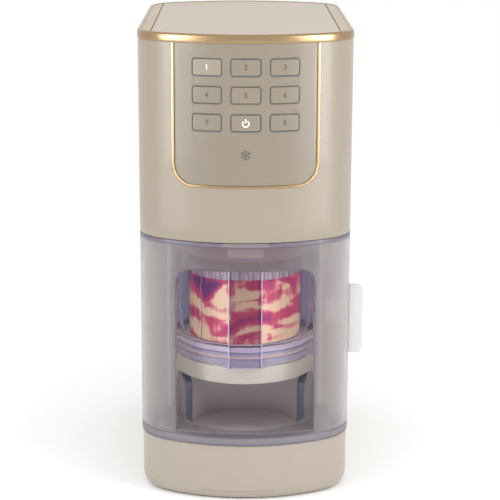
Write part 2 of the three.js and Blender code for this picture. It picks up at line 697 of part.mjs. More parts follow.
add("base_shell", baseShell(), SHELL);
add("base_cover", baseCover(), DARK);
for (const [place, x, y] of [
  ["front_left", -58, -6],
  ["front_right", 58, -6],
  ["rear_left", -58, 195],
  ["rear_right", 58, 195],
])
  add("foot_" + place, foot(x, y), RUBBER);
add("well_liner", wellLiner(), DARK);
add("column_shell", columnShell(), SHELL);
add("service_cover", serviceCover(), SHELL);
add("chamber_liner", chamberLiner(), LIGHT_SHELL);
add("cord_gland", cordGland(), RUBBER);
add("head_shell", headShell(), SHELL);
add("head_floor", headFloor(), LIGHT_SHELL);
add("vent_grille", ventGrille(), SHELL);
add("gold_rim", goldRim(), GOLD);
add("top_deck", topDeck(), LIGHT_SHELL);
add("control_panel", controlPanel(), SHELL);
add("panel_trim", panelTrim(), GOLD);
add("key_board", keyBoard(), BOARD);
KEY_ROWS.forEach((z, row) =>
  KEY_COLUMNS.forEach((x, column) =>
    add("key_" + ["top", "middle", "bottom"][row] + "_" + ["left", "centre", "right"][column], key(x, z), SHELL),
  ),
);

add("hinge_pin_lower", hingePin(BASE_TOP + GAP, DOOR_BOTTOM + 6), STEEL);
add("hinge_pin_upper", hingePin(DOOR_TOP - 6.4, HEAD_BOTTOM - GAP), STEEL);
add("door_catch", doorCatch(), DARK);
add("door_shell", doorShell(), FROSTED);
add("door_window", doorWindow(), CLEAR);
add("door_handle", doorHandle(), CLEAR);

add("lift_cradle", liftCradle(), SHELL);
add("lift_bracket", liftBracket(), STEEL);
add("platform", platform(), LIGHT_SHELL);
add("lift_screw", liftScrew(), STEEL);
add("lift_gear", liftGear(), WHITE_PLASTIC);
add("lift_pinion", liftPinion(), BRASS);
add("lift_motor", liftMotor(), STEEL);
add("lift_frame", liftFrame(), STEEL);

add("outer_bowl", outerBowl(), CLEAR);
add("tub", tub(), CLEAR);
add("frozen_mix", frozenMix(), MIX);
add("bowl_lid", bowlLid(), WHITE_PLASTIC);
add("lid_seal", lidSeal(), RUBBER);
add("lid_bush", lidBush(), STEEL);
add("blade", blade(), STEEL);

add("spindle", spindle(), STEEL);
add("drive_gear", driveGear(), WHITE_PLASTIC);
add("feed_carriage", feedCarriage(), WHITE_PLASTIC);
add("feed_screw", feedScrew(), STEEL);
add("feed_motor", feedMotor(), DARK);
add("drive_frame", driveFrame(), STEEL);
add("motor_housing", motorHousing(), STEEL);
add("motor_rotor", motorRotor(), BRASS);
add("motor_pinion", motorPinion(), BRASS);
add("motor_fan", motorFan(), WHITE_PLASTIC);
add("power_board", powerBoard(), BOARD);

// The frame's origin is under the middle of the bounding box, on the worktop.
const middle = new THREE.Box3().setFromObject(machine).getCenter(new THREE.Vector3());
machine.position.set(-middle.x, -middle.y, 0);

export default machine;
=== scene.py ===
"""The looks of a countertop ice cream maker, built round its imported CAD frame.

Metres, +Z up, the front faces -Y.
"""

import math

import bmesh
import bpy
from mathutils import Matrix, Vector


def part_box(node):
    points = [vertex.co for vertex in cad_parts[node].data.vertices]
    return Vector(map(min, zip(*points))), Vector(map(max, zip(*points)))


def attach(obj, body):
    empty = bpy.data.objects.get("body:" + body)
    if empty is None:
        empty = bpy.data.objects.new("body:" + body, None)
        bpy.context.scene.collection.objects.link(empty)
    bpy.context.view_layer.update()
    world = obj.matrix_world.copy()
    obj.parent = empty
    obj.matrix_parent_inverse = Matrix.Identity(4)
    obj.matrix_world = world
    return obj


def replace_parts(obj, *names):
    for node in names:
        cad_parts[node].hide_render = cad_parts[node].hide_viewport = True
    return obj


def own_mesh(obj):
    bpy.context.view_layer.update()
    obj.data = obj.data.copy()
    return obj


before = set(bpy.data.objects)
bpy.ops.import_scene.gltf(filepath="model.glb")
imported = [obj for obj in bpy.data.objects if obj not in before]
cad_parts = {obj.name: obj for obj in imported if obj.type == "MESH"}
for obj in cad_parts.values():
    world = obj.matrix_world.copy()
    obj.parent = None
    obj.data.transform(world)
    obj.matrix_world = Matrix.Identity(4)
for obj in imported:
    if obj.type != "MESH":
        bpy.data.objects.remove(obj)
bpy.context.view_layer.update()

# ---- Driving sizes, in metres and degrees ----
# x and y are counted from the middle of the front corner arcs, and z from the worktop.
FRONT_RADIUS = 0.138
CORNER = 0.041
CORNER_X = 0.049
REAR_CORNER_Y = 0.204
BAY_Y = 0.024  # the axis of the bowl, the platform and the lid
WALL = 0.0025
GAP = 0.0003  # between pieces that touch

BASE_TOP = 0.0491
PLINTH_TOP = 0.0585
PLINTH_HALF = 0.075
PLINTH_INSET = 0.006
PLINTH_REAR_Y = 0.104
PLINTH_HOLE = 0.0618

COLUMN_Y = 0.032
COLUMN_EDGE = (0.0692, 0.0874)  # from x to x, on each side
COVER_SIZE = (0.1156, 0.1412)
COVER_Z = 0.141
COVER_CORNER = 0.004
COVER_JOINT = 0.0008
SCREW_X = 0.05
SCREW_Z = (0.078, 0.204)

CHAMBER_RADIUS = 0.066
LINER_WALL = 0.0022
LINER_START = 2
SLOT_START = 82  # the slot behind the bay for the lift's bracket
SLOT_END = 98
SLOT_TOP = 0.097

HEAD_LOW = 0.2268
HEAD_HIGH = 0.3911
VENT_HALF = 0.046
VENT_LOW = 0.300
VENT_HIGH = 0.366
VENT_LIP = 0.0006
VENT_DEPTH = 0.0036
PANEL_HALF = 0.0583
PANEL_LOW = 0.275
PANEL_CORNER = 0.017
PANEL_STEPS = 10  # pieces of each rounded corner
PANEL_DEPTH = 0.0042
TRIM = 0.0026

KEY_SIZE = (0.0256, 0.0152)
KEY_CORNER = 0.003
KEY_GROOVE = 0.0011
KEY_COLUMNS = (-0.0317, 0.0, 0.0317)
KEY_ROWS = (0.372, 0.3495, 0.3269)
KEY_STEM = (0.0086, 0.0066)
PRESS_SHIFT = 0.00026  # how far a side key slides across the curved panel as it is pressed
COLUMN_NAMES = ("left", "centre", "right")
ROW_NAMES = ("top", "middle", "bottom")
LIT_KEY = (0, 0)
POWER_KEY = (2, 1)
NUMERAL_SIZE = 0.0062
EMBLEM_Z = 0.3005
EMBLEM_ARM = 0.0042
EMBLEM_LINE = 0.0006  # the width of its bars

RIM_LOW = 0.3914
HEIGHT = 0.3985
DECK_INSET = 0.0031
DECK_LOW = HEIGHT - 0.0018
DECK_HIGH = HEIGHT - 0.0006
SEAM_X = 0.0777
SEAM_HALF = 0.00009  # half the seam's width

DOOR_LOW = 0.0497
DOOR_HIGH = 0.2263
DOOR_REAR_Y = 0.028
DOOR_SHEET = 0.0026
DOOR_BROW = 0.0035  # the height of the clear line along the door's top
DOOR_FOOT = 0.0072  # and of the one along its bottom
DOOR_LINE = 0.0009  # the darker line above the foot
WINDOW_HALF = 0.0588
WINDOW_LOW = 0.0586
WINDOW_HIGH = 0.203
WINDOW_CORNER = 0.0145
WINDOW_FOOT_CORNER = 0.0008
WINDOW_LINE = 0.0006  # half the width of the line round the window
NOTCH_HALF = 0.0185
NOTCH_SLOPE = 0.003
HINGE = (-0.084, 0.024)
KNUCKLE = 0.0045  # its radius, and that of the pin's hole
KNUCKLE_HOLE = 0.00175
KNUCKLE_HEIGHT = 0.0066
TAB_X = (0.0903, 0.1022)
TAB_Z = (0.1165, 0.178)
TAB_CORNER = 0.0105
TAB_DEPTH = 0.0034

CRADLE_RADIUS = 0.0605
CRADLE_WALL = 0.0073
CRADLE_LOW = 0.033
CRADLE_HIGH = 0.099
CRADLE_OPENING = 58.7  # each side of the front
FLARE_OPENING = 66  # at the top, where the opening widens
FLARE_Z = 0.090
PLATFORM_RADIUS = 0.061
PLATFORM_LOW = 0.0993
PLATFORM_HIGH = 0.1144

BOWL_RADIUS = 0.060
BOWL_LOW = 0.1147
BOWL_TOP = 0.206
BOWL_FLOOR = 0.129
BOWL_WALL = 0.0026
BOWL_SEAM_X = 0.0375
HANDLE_Y = -0.049
HANDLE_REAR_Y = -0.0345
HANDLE_HALF = 0.0142
HANDLE_WALL = 0.0024
HANDLE_LOW = 0.117
HANDLE_LINE = 0.0004  # half the width of the line down each edge

TUB_RADIUS = 0.0505
TUB_LOW = 0.1293
TUB_TOP = 0.203
TUB_LIP = 0.0025
RIB_COUNT = 90
RIB_LOW = 0.1878
RIB_HIGH = 0.1985
RIB_HEIGHT = 0.0006
MIX_LOW = 0.1312
MIX_HIGH = 0.195
MIX_STRETCH = (26, 26, 50)
MIX_OFFSET = (8.3, 0.6, 0.2)
MIX_STREAK_STRETCH = (300, 300, 14)
MIX_STREAK_SHARE = 0.2
MIX_LAYER_SHARE = 0.42
MIX_CENTRE = 0.022  # raspberry thins out nearer the middle than this, and gathers further out
MIX_SIDE_SHARE = 1.1

LID_TOP = 0.222
LID_LOW = 0.2063
LID_RADIUS = 0.0615
LID_COLLAR = (0.009, 0.013, 0.2345)  # its inner and outer radius, and its top

DRIFT_SCALE = 60  # how fine a material's drift in colour and gloss is
GRAIN_SCALE = 2500
GRAIN_DEPTH = 0.0001
WELD = 2e-6  # points nearer than this are one
SHARP = 35  # edges that turn further than this stay sharp
FADE_SPAN = 0.1  # how far from the middle plane a material can fade

LAMP_AIM = (0, 0, 0.22)
CAMERA_LENS = 119.0
CAMERA_DOWN = 13.60
CAMERA_TURN = 0.49
CAMERA_ROLL = 0.19
CAMERA_PLACE = (-0.0076, -1.380, 0.54215)

bush_low, bush_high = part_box("lid_bush")
ORIGIN = Vector(((bush_low[0] + bush_high[0]) / 2, (bush_low[1] + bush_high[1]) / 2 - BAY_Y, 0))
BAY = ORIGIN + Vector((0, BAY_Y, 0))


# ---- Shapes in two dimensions ----
def fillet(points, radius, steps=6):
    """The corners of a closed polygon, rounded. radius is one number, or one for each corner."""
    count = len(points)
    radii = radius if isinstance(radius, (list, tuple)) else [radius] * count
    result = []
    for i, corner in enumerate(points):
        here = Vector(corner)
        before = Vector(points[i - 1]) - here
        after = Vector(points[(i + 1) % count]) - here
        if radii[i] == 0:
            result.append((here.x, here.y))
            continue
        half = before.angle(after) / 2
        # Two arcs on one edge share it, so each stays a little short of its middle.
        cut = min(radii[i] / math.tan(half), before.length * 0.499, after.length * 0.499)
        true_radius = cut * math.tan(half)
        middle = here + (before.normalized() + after.normalized()).normalized() * true_radius / math.sin(half)
        first = here + before.normalized() * cut - middle
        last = here + after.normalized() * cut - middle
        turn = first.angle_signed(last)
        for k in range(steps + 1):
            spoke = first.copy()
            spoke.rotate(Matrix.Rotation(-turn * k / steps, 2))
            result.append((middle.x + spoke.x, middle.y + spoke.y))
    return result


def rectangle(cx, cy, width, height, radius, steps=5):
    """A rectangle with rounded corners, about its middle."""
    x, y = width / 2, height / 2
    corners = [(cx - x, cy - y), (cx + x, cy - y), (cx + x, cy + y), (cx - x, cy + y)]
    return fillet(corners, radius, steps)


def circle(cx, cy, radius, steps=72):
    """A circle as a closed loop of points."""
    turns = [2 * math.pi * k / steps for k in range(steps)]
    return [(cx + radius * math.cos(a), cy + radius * math.sin(a)) for a in turns]


# ---- The body's outline ----
FRONT_TURN = math.asin(CORNER_X / (FRONT_RADIUS - CORNER))
ARC_Y = math.sqrt((FRONT_RADIUS - CORNER) ** 2 - CORNER_X**2)
FRONT_RUN = FRONT_RADIUS * FRONT_TURN
CORNER_RUN = CORNER * (math.pi / 2 - FRONT_TURN)
SIDE_START = FRONT_RUN + CORNER_RUN
SIDE_END = SIDE_START + REAR_CORNER_Y
HALF_ROUND = SIDE_END + CORNER_RUN + FRONT_RUN


def along(s, inset):
    """The point that lies s round the outline from the middle of the front, moved inwards."""
    side = 1 if s >= 0 else -1
    run = abs(s)
    rear = run > SIDE_START + REAR_CORNER_Y / 2
    if rear:
        run = HALF_ROUND - run
    if run <= FRONT_RUN:
        a = run / FRONT_RADIUS
        x, y = (FRONT_RADIUS - inset) * math.sin(a), ARC_Y - (FRONT_RADIUS - inset) * math.cos(a)
    elif run <= SIDE_START:
        a = FRONT_TURN + (run - FRONT_RUN) / CORNER
        x, y = CORNER_X + (CORNER - inset) * math.sin(a), -(CORNER - inset) * math.cos(a)
    else:
        x, y = CORNER_X + CORNER - inset, run - SIDE_START
    if rear:
        y = REAR_CORNER_Y - y
    return Vector((side * x, y))


def reach(x):
    """How far round the front arc a point of that x lies."""
    return FRONT_RADIUS * math.asin(x / FRONT_RADIUS)


def outline(inset, step=0.003):
    """The whole outline as a closed loop, from the middle of the back."""
    count = int(2 * HALF_ROUND / step)
    return [tuple(along(-HALF_ROUND + 2 * HALF_ROUND * (k + 0.5) / count, inset)) for k in range(count)]


def on_body(s, z, depth):
    """The point in space at s and z that lies that deep in the body."""
    p = along(s, depth)
    return ORIGIN + Vector((p.x, p.y, z))


def on_back(s, z, depth):
    """As on_body, with s counted from the middle of the back, so that x runs the same way."""
    p = along(HALF_ROUND - s if s >= 0 else -HALF_ROUND - s, depth)
    return ORIGIN + Vector((p.x, p.y, z))


# ---- Meshes ----
def finish_mesh(name, bm, look, body, angle=SHARP):
    """Turns a bmesh into a piece that rides on a body."""
    bmesh.ops.remove_doubles(bm, verts=bm.verts, dist=WELD)
    bmesh.ops.recalc_face_normals(bm, faces=bm.faces)
    mesh = bpy.data.meshes.new(name)
    bm.to_mesh(mesh)
    bm.free()
    mesh.shade_smooth()
    mesh.set_sharp_from_angle(angle=math.radians(angle))
    piece = bpy.data.objects.new(name, mesh)
    bpy.context.scene.collection.objects.link(piece)
    mesh.materials.append(look)
    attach(piece, body)
    return piece


def mesh_from(holder):
    """A bmesh of a curve or text object, which is then removed."""
    bpy.context.scene.collection.objects.link(holder)
    mesh = bpy.data.meshes.new_from_object(holder.evaluated_get(bpy.context.evaluated_depsgraph_get()))
    bm = bmesh.new()
    bm.from_mesh(mesh)
    bpy.data.curves.remove(holder.data)
    bpy.data.meshes.remove(mesh)
    return bm


def flat_solid(loops, thickness, bevel):
    """A bmesh of a flat plate from closed loops, the first one round the others, with rounded edges."""
    curve = bpy.data.curves.new("plate", "CURVE")
    curve.dimensions = "2D"
    curve.fill_mode = "BOTH"
    curve.extrude = thickness / 2 - bevel
    curve.bevel_depth = bevel
    curve.bevel_resolution = 1
    curve.offset = -bevel
    for loop in loops:
        spline = curve.splines.new("POLY")
        spline.points.add(len(loop) - 1)
        for point, (x, y) in zip(spline.points, loop):
            point.co = (x, y, 0, 1)
        spline.use_cyclic_u = True
    bm = mesh_from(bpy.data.objects.new("plate", curve))
    bmesh.ops.remove_doubles(bm, verts=bm.verts, dist=WELD)
    return bm


def sliced(bm, step):
    """Cuts a flat plate across x every step, so that it can bend."""
    values = [v.co.x for v in bm.verts]
    first, last = math.ceil(min(values) / step), math.floor(max(values) / step)
    shift = step * 0.013  # keeps the cuts off the plate's own points
    for k in range(first, last + 1):
        geometry = bm.verts[:] + bm.edges[:] + bm.faces[:]
        place = (k * step + shift, 0, 0)
        bmesh.ops.bisect_plane(bm, geom=geometry, plane_co=place, plane_no=(1, 0, 0), dist=1e-7)


def wrapped(name, loops, front, thickness, bevel, look, body, place=on_body, step=0.0025):
    """A plate drawn in s and z, bent onto the body with its face at depth front."""
    bm = flat_solid(loops, thickness, bevel)
    sliced(bm, step)
    for v in bm.verts:
        v.co = place(v.co.x, v.co.y, front + thickness / 2 - v.co.z)
    return finish_mesh(name, bm, look, body)


def slab(name, loops, low, high, bevel, look, body):
    """A plate that lies flat, drawn in x and y, from z = low to z = high."""
    bm = flat_solid(loops, high - low, bevel)
    for v in bm.verts:
        v.co = ORIGIN + Vector((v.co.x, v.co.y, v.co.z + (low + high) / 2))
    return finish_mesh(name, bm, look, body)


def upright(name, loops, front, rear, bevel, look, body):
    """A plate that stands across the machine, drawn in x and z, from y = front to y = rear."""
    bm = flat_solid(loops, rear - front, bevel)
    for v in bm.verts:
        v.co = ORIGIN + Vector((v.co.x, (front + rear) / 2 - v.co.z, v.co.y))
    return finish_mesh(name, bm, look, body)


def stacked(name, rows, look, body):
    """A closed band through the body's outline at each (z, inset) row, and from the last row to the first."""
    bm = bmesh.new()
    rings = []
    for z, inset in rows:
        rings.append([bm.verts.new(ORIGIN + Vector((x, y, z))) for x, y in outline(inset)])
    for lower, upper in zip(rings, rings[1:]):
        for k in range(len(lower)):
            j = (k + 1) % len(lower)
            bm.faces.new((lower[k], lower[j], upper[j], upper[k]))
    for k in range(len(rings[0])):
        j = (k + 1) % len(rings[0])
        bm.faces.new((rings[-1][k], rings[-1][j], rings[0][j], rings[0][k]))
    return finish_mesh(name, bm, look, body)


def turned(name, profile, look, body, centre=BAY, steps=128, start=0.0, sweep=360.0, angle=SHARP):
    """A closed (radius, z) profile turned about a vertical axis, all the way round or through part of it."""
    bm = bmesh.new()
    whole = sweep == 360
    count = steps if whole else steps + 1
    columns = []
    for k in range(count):
        a = math.radians(start + sweep * k / steps)
        x, y = math.cos(a), math.sin(a)
        columns.append([bm.verts.new(centre + Vector((r * x, r * y, z))) for r, z in profile])
    for k in range(steps):
        one, two = columns[k], columns[(k + 1) % count]
        for i in range(len(profile)):
            j = (i + 1) % len(profile)
            on_axis = profile[i][0] == 0 and profile[j][0] == 0
            if not on_axis:
                bm.faces.new((one[i], two[i], two[j], one[j]))
    if not whole:
        bm.faces.new(columns[0])
        bm.faces.new(columns[-1][::-1])
    bmesh.ops.remove_doubles(bm, verts=bm.verts, dist=WELD)
    bmesh.ops.dissolve_degenerate(bm, dist=1e-7, edges=bm.edges)
    return finish_mesh(name, bm, look, body, angle)


def block(name, low, high, bevel, look, body):
    """A box between two corners, with rounded edges."""
    bm = bmesh.new()
    size = [h - l for l, h in zip(low, high)]
    middle = Vector([(l + h) / 2 for l, h in zip(low, high)])
    place = Matrix.Translation(ORIGIN + middle) @ Matrix.Diagonal((*size, 1))
    bmesh.ops.create_cube(bm, size=1, matrix=place)
    bmesh.ops.bevel(bm, geom=bm.edges[:], offset=bevel, segments=2, profile=0.6, affect="EDGES")
    return finish_mesh(name, bm, look, body)


# ---- Materials ----
def srgb(red, green, blue):
    """A colour given as it is seen, from 0 to 255, in Blender's linear values."""

    def linear(c):
        c /= 255
        return c / 12.92 if c <= 0.04045 else ((c + 0.055) / 1.055) ** 2.4

    return (linear(red), linear(green), linear(blue), 1)


def noise_node(tree, place, scale, detail=2.0):
    """Noise over a material, from place, the output that says where on the piece a point is."""
    noise = tree.nodes.new("ShaderNodeTexNoise")
    noise.inputs["Scale"].default_value = scale
    noise.inputs["Detail"].default_value = detail
    tree.links.new(place, noise.inputs["Vector"])
    return noise


def color_ramp(tree, source, stops):
    """Colours from a number. stops are (position, colour), from the lowest to the highest."""
    ramp = tree.nodes.new("ShaderNodeValToRGB")
    first, last = ramp.color_ramp.elements
    first.position, first.color = stops[0]
    last.position, last.color = stops[-1]
    for position, color in stops[1:-1]:
        ramp.color_ramp.elements.new(position).color = color
    tree.links.new(source, ramp.inputs["Fac"])
    return ramp


def mapped(tree, source, start, end, low=0.0, high=1.0):
    """A number taken from between start and end to between low and high."""
    node = tree.nodes.new("ShaderNodeMapRange")
    node.inputs["From Min"].default_value = start
    node.inputs["From Max"].default_value = end
    node.inputs["To Min"].default_value = low
    node.inputs["To Max"].default_value = high
    tree.links.new(source, node.inputs["Value"])
    return node.outputs["Result"]


def calculated(tree, kind, one, two=None):
    """The result of a math node. two is another result, a number, or nothing."""
    node = tree.nodes.new("ShaderNodeMath")
    node.operation = kind
    tree.links.new(one, node.inputs[0])
    if isinstance(two, float):
        node.inputs[1].default_value = two
    elif two is not None:
        tree.links.new(two, node.inputs[1])
    return node.outputs[0]


def from_middle(tree, place):
    """How far a point lies to either side of the machine's middle plane, and how high it lies."""
    split = tree.nodes.new("ShaderNodeSeparateXYZ")
    tree.links.new(place, split.inputs["Vector"])
    offset = calculated(tree, "SUBTRACT", split.outputs["X"], ORIGIN.x)
    return calculated(tree, "ABSOLUTE", offset), split.outputs["Z"]


def surface(name, color, roughness, metallic=0.0, alpha=1.0, coat=0.0, vary=0.012, rough_vary=0.05, bump=0.0):
    """A plastic or metal whose colour and gloss drift a little over the surface."""
    look = bpy.data.materials.new(name)
    look.use_nodes = True
    tree = look.node_tree
    shader = tree.nodes["Principled BSDF"]
    place = tree.nodes.new("ShaderNodeTexCoord").outputs["Object"]
    drift = noise_node(tree, place, DRIFT_SCALE, 4.0).outputs["Fac"]
    darker = [c * (1 - vary) for c in color[:3]] + [1]
    lighter = [min(1, c * (1 + vary)) for c in color[:3]] + [1]
    ramp = color_ramp(tree, drift, [(0.3, darker), (0.7, lighter)])
    tree.links.new(ramp.outputs["Color"], shader.inputs["Base Color"])
    least, most = max(0.02, roughness - rough_vary), min(1, roughness + rough_vary)
    tree.links.new(mapped(tree, drift, 0.0, 1.0, least, most), shader.inputs["Roughness"])
    shader.inputs["Metallic"].default_value = metallic
    shader.inputs["Alpha"].default_value = alpha
    shader.inputs["Coat Weight"].default_value = coat
    if bump:
        dent = tree.nodes.new("ShaderNodeBump")
        dent.inputs["Strength"].default_value = bump
        dent.inputs["Distance"].default_value = GRAIN_DEPTH
        tree.links.new(noise_node(tree, place, GRAIN_SCALE).outputs["Fac"], dent.inputs["Height"])
        tree.links.new(dent.outputs["Normal"], shader.inputs["Normal"])
    return look


def open_to_lamps(look, tint=(1, 1, 1, 1)):
    """Lets light from the lamps reach what lies behind a clear piece."""
    nodes, links = look.node_tree.nodes, look.node_tree.links
    clear = nodes.new("ShaderNodeBsdfTransparent")
    clear.inputs["Color"].default_value = tint
    path = nodes.new("ShaderNodeLightPath")
    pick = nodes.new("ShaderNodeMixShader")
    links.new(path.outputs["Is Shadow Ray"], pick.inputs["Fac"])
    links.new(nodes["Principled BSDF"].outputs["BSDF"], pick.inputs[1])
    links.new(clear.outputs["BSDF"], pick.inputs[2])
    links.new(pick.outputs["Shader"], nodes["Material Output"].inputs["Surface"])
    return look


def clear_plastic(name, color, roughness, index, share=1.0, tint=(1, 1, 1, 1)):
    """Plastic that lets light through. index is how it bends light, and share how much of it isn't milky."""
    look = surface(name, color, roughness, rough_vary=0.01, vary=0.01)
    shader = look.node_tree.nodes["Principled BSDF"]
    shader.inputs["Transmission Weight"].default_value = share
    shader.inputs["IOR"].default_value = index
    return open_to_lamps(look, tint)


def fade_outwards(look, stops):
    """Colours a material by the distance from the machine's middle plane. stops are (distance, colour)."""
    tree = look.node_tree
    distance, _ = from_middle(tree, tree.nodes.new("ShaderNodeTexCoord").outputs["Object"])
    share = mapped(tree, distance, 0.0, FADE_SPAN)
    ramp = color_ramp(tree, share, [(reached / FADE_SPAN, color) for reached, color in stops])
    tree.links.new(ramp.outputs["Color"], tree.nodes["Principled BSDF"].inputs["Base Color"])


SHELL = surface("shell", srgb(149, 138, 123), 0.35, coat=0.15)
# The base's shell is the same plastic as the head's, made lighter: painted light for the light the base gets
# less of.
BASE_SHELL_PAINTED_LIGHT = surface("base_shell", srgb(160, 150, 138), 0.35, coat=0.15)
PANEL = surface("panel", srgb(133, 123, 108), 0.36, coat=0.1)
DECK = surface("deck", srgb(187, 176, 161), 0.5)
DECK_SIDE = surface("deck_side", srgb(176, 156, 130), 0.35)
LIGHT_SHELL = surface("light_shell", srgb(190, 182, 170), 0.45)
LID = surface("lid", srgb(148, 130, 140), 0.4)
LID_TAB = surface("lid_tab", srgb(240, 232, 216), 0.4)
CRADLE = surface("cradle", srgb(180, 172, 170), 0.2)
PLINTH = surface("plinth", srgb(110, 104, 102), 0.3)
RING = surface("ring", srgb(150, 143, 131), 0.5)
# A dark colour for the cradle wall's ends and underside: painted shade.
JAMB_PAINTED_SHADE = surface("jamb_painted_shade", srgb(68, 70, 82), 0.25)
GOLD = surface("gold", srgb(164, 139, 106), 0.26, metallic=1.0)
DARK = surface("dark", srgb(70, 68, 70), 0.4)
GROOVE = surface("groove", srgb(96, 90, 84), 0.6)
WELL = surface("well", srgb(214, 204, 200), 0.2)
RUBBER = surface("rubber", srgb(45, 45, 46), 0.8, bump=0.3)
STEEL = surface("steel", srgb(190, 192, 196), 0.3, metallic=1.0)
BRASS = surface("brass", srgb(190, 150, 80), 0.35, metallic=1.0)
GEAR = surface("gear_plastic", srgb(225, 222, 212), 0.5)
BOARD = surface("board", srgb(50, 105, 70), 0.5, vary=0.15)
ROTOR = surface("rotor", srgb(150, 90, 60), 0.5, metallic=0.6)
FROSTED = clear_plastic("frosted", srgb(206, 202, 204), 0.26, 1.16, 0.76, (0.85, 0.84, 0.86, 1))
# The frosted door is coloured darker towards the middle and lighter towards its sides: painted shade of the
# dark bay behind it, and painted light where light enters at its sides.
FROSTED_PAINTED_SHADE = ((0.03, srgb(164, 152, 157)), (0.058, srgb(182, 177, 177)), (0.086, srgb(214, 211, 211)))
fade_outwards(FROSTED, FROSTED_PAINTED_SHADE)
DOOR_EDGE = open_to_lamps(surface("door_edge", srgb(120, 112, 128), 0.25, alpha=0.6))
WINDOW = clear_plastic("window", srgb(250, 248, 254), 0.02, 1.12)
CLEAR = clear_plastic("clear", srgb(248, 247, 254), 0.02, 1.07)
HANDLE = clear_plastic("handle", srgb(236, 232, 242), 0.02, 1.1)
TUB_CLEAR = clear_plastic("tub_clear", srgb(246, 246, 248), 0.05, 1.06)
BOWL_BASE = clear_plastic("bowl_base", srgb(208, 203, 212), 0.1, 1.12, 0.74)
WINDOW_EDGE = open_to_lamps(surface("window_edge", srgb(96, 90, 102), 0.3, alpha=0.7))
FOOT_BAND = open_to_lamps(surface("foot_band", srgb(138, 132, 140), 0.3, alpha=0.6))
CLEAR_EDGE_HIGHLIGHT = surface("clear_edge_highlight", srgb(186, 176, 202), 0.1, alpha=0.55)
HANDLE_FOOT = surface("handle_foot", srgb(168, 162, 180), 0.1, alpha=0.4)
PALE_PAINTED_HIGHLIGHT = surface("pale_painted_highlight", srgb(186, 179, 194), 0.15, alpha=0.5)
NOTCH = surface("notch", srgb(146, 139, 144), 0.3, alpha=0.6)
BLUE_SEAM_AND_REFLECTION = surface("blue_seam_and_reflection", srgb(112, 110, 138), 0.15, alpha=0.5)
PEACH_PAINTED_REFRACTION = surface("peach_painted_refraction", srgb(206, 166, 146), 0.15, alpha=0.5)
BOWL_FLOOR_PAINTED_LIGHT = surface("bowl_floor_painted_light", srgb(222, 204, 204), 0.3, alpha=0.85)
RIB = surface("rib", srgb(132, 120, 124), 0.5, alpha=0.5)
RIB_BAND = surface("rib_band", srgb(160, 146, 144), 0.5, alpha=0.85)
TAB = surface("tab", srgb(206, 205, 203), 0.3, alpha=0.85)
INK = surface("ink", srgb(86, 81, 76), 0.6)


def glowing(name, color, strength):
    """A surface that gives off a little light of its own colour."""
    look = surface(name, color, 0.4)
    shader = look.node_tree.nodes["Principled BSDF"]
    ramp = look.node_tree.nodes["Color Ramp"]
    look.node_tree.links.new(ramp.outputs["Color"], shader.inputs["Emission Color"])
    shader.inputs["Emission Strength"].default_value = strength
    return look


# The liner glows a little, though it is no lamp: painted light that lifts it out of shade.
LINER_PAINTED_GLOW = glowing("liner", srgb(218, 218, 238), 0.12)
LIT = glowing("lit", srgb(255, 252, 240), 0.6)
LIT_CAP = glowing("lit_cap", srgb(142, 132, 117), 0.1)


def swirled():
    """Vanilla with raspberry drawn through it in loose bands, streaked down by the tub."""
    look = bpy.data.materials.new("swirled_mix")
    look.use_nodes = True
    tree = look.node_tree
    shader = tree.nodes["Principled BSDF"]
    place = tree.nodes.new("ShaderNodeTexCoord").outputs["Object"]

    def stretched_noise(stretch, offset, detail, distortion):
        mapping = tree.nodes.new("ShaderNodeMapping")
        mapping.inputs["Scale"].default_value = stretch
        mapping.inputs["Location"].default_value = offset
        tree.links.new(place, mapping.inputs["Vector"])
        noise = noise_node(tree, mapping.outputs["Vector"], 1.0, detail)
        noise.inputs["Distortion"].default_value = distortion
        return noise.outputs["Fac"]

    bands = stretched_noise(MIX_STRETCH, MIX_OFFSET, 6.0, 0.7)
    streaks = stretched_noise(MIX_STREAK_STRETCH, (0, 0, 0), 3.0, 0.0)
    distance, height = from_middle(tree, place)
    level = mapped(tree, height, MIX_LOW, MIX_HIGH)
    layers = color_ramp(tree, level, [(z, (share, share, share, 1)) for z, share in MIX_LAYERS])
    layers.color_ramp.interpolation = "B_SPLINE"

    def weighed(source, middle, weight):
        return calculated(tree, "MULTIPLY", calculated(tree, "SUBTRACT", source, middle), weight)

    mixed = calculated(tree, "ADD", bands, weighed(streaks, 0.5, MIX_STREAK_SHARE))
    mixed = calculated(tree, "ADD", mixed, weighed(layers.outputs["Color"], 0.5, MIX_LAYER_SHARE))
    mixed = calculated(tree, "ADD", mixed, weighed(distance, MIX_CENTRE, MIX_SIDE_SHARE))
    ramp = color_ramp(tree, mixed, MIX_COLORS)
    tree.links.new(ramp.outputs["Color"], shader.inputs["Base Color"])
    # The mix glows faintly in its own colour: painted light that brightens it inside the shaded bowl.
    tree.links.new(ramp.outputs["Color"], shader.inputs["Emission Color"])
    shader.inputs["Emission Strength"].default_value = 0.07
    shader.inputs["Roughness"].default_value = 0.5
    return look


# Where raspberry gathers, from the bottom of the mix to its top.
MIX_LAYERS = ((0, 0.42), (0.18, 0.46), (0.34, 0.78), (0.5, 0.3), (0.66, 0.76), (0.75, 0.6), (0.85, 1.0))
MIX_LAYERS += ((0.94, 0.45), (1, 0.40))
MIX_COLORS = (
    (0.465, srgb(218, 188, 144)),
    (0.495, srgb(212, 146, 130)),
    (0.54, srgb(192, 76, 96)),
    (0.605, srgb(176, 50, 92)),
    (0.71, srgb(98, 40, 96)),
)
MIX = swirled()


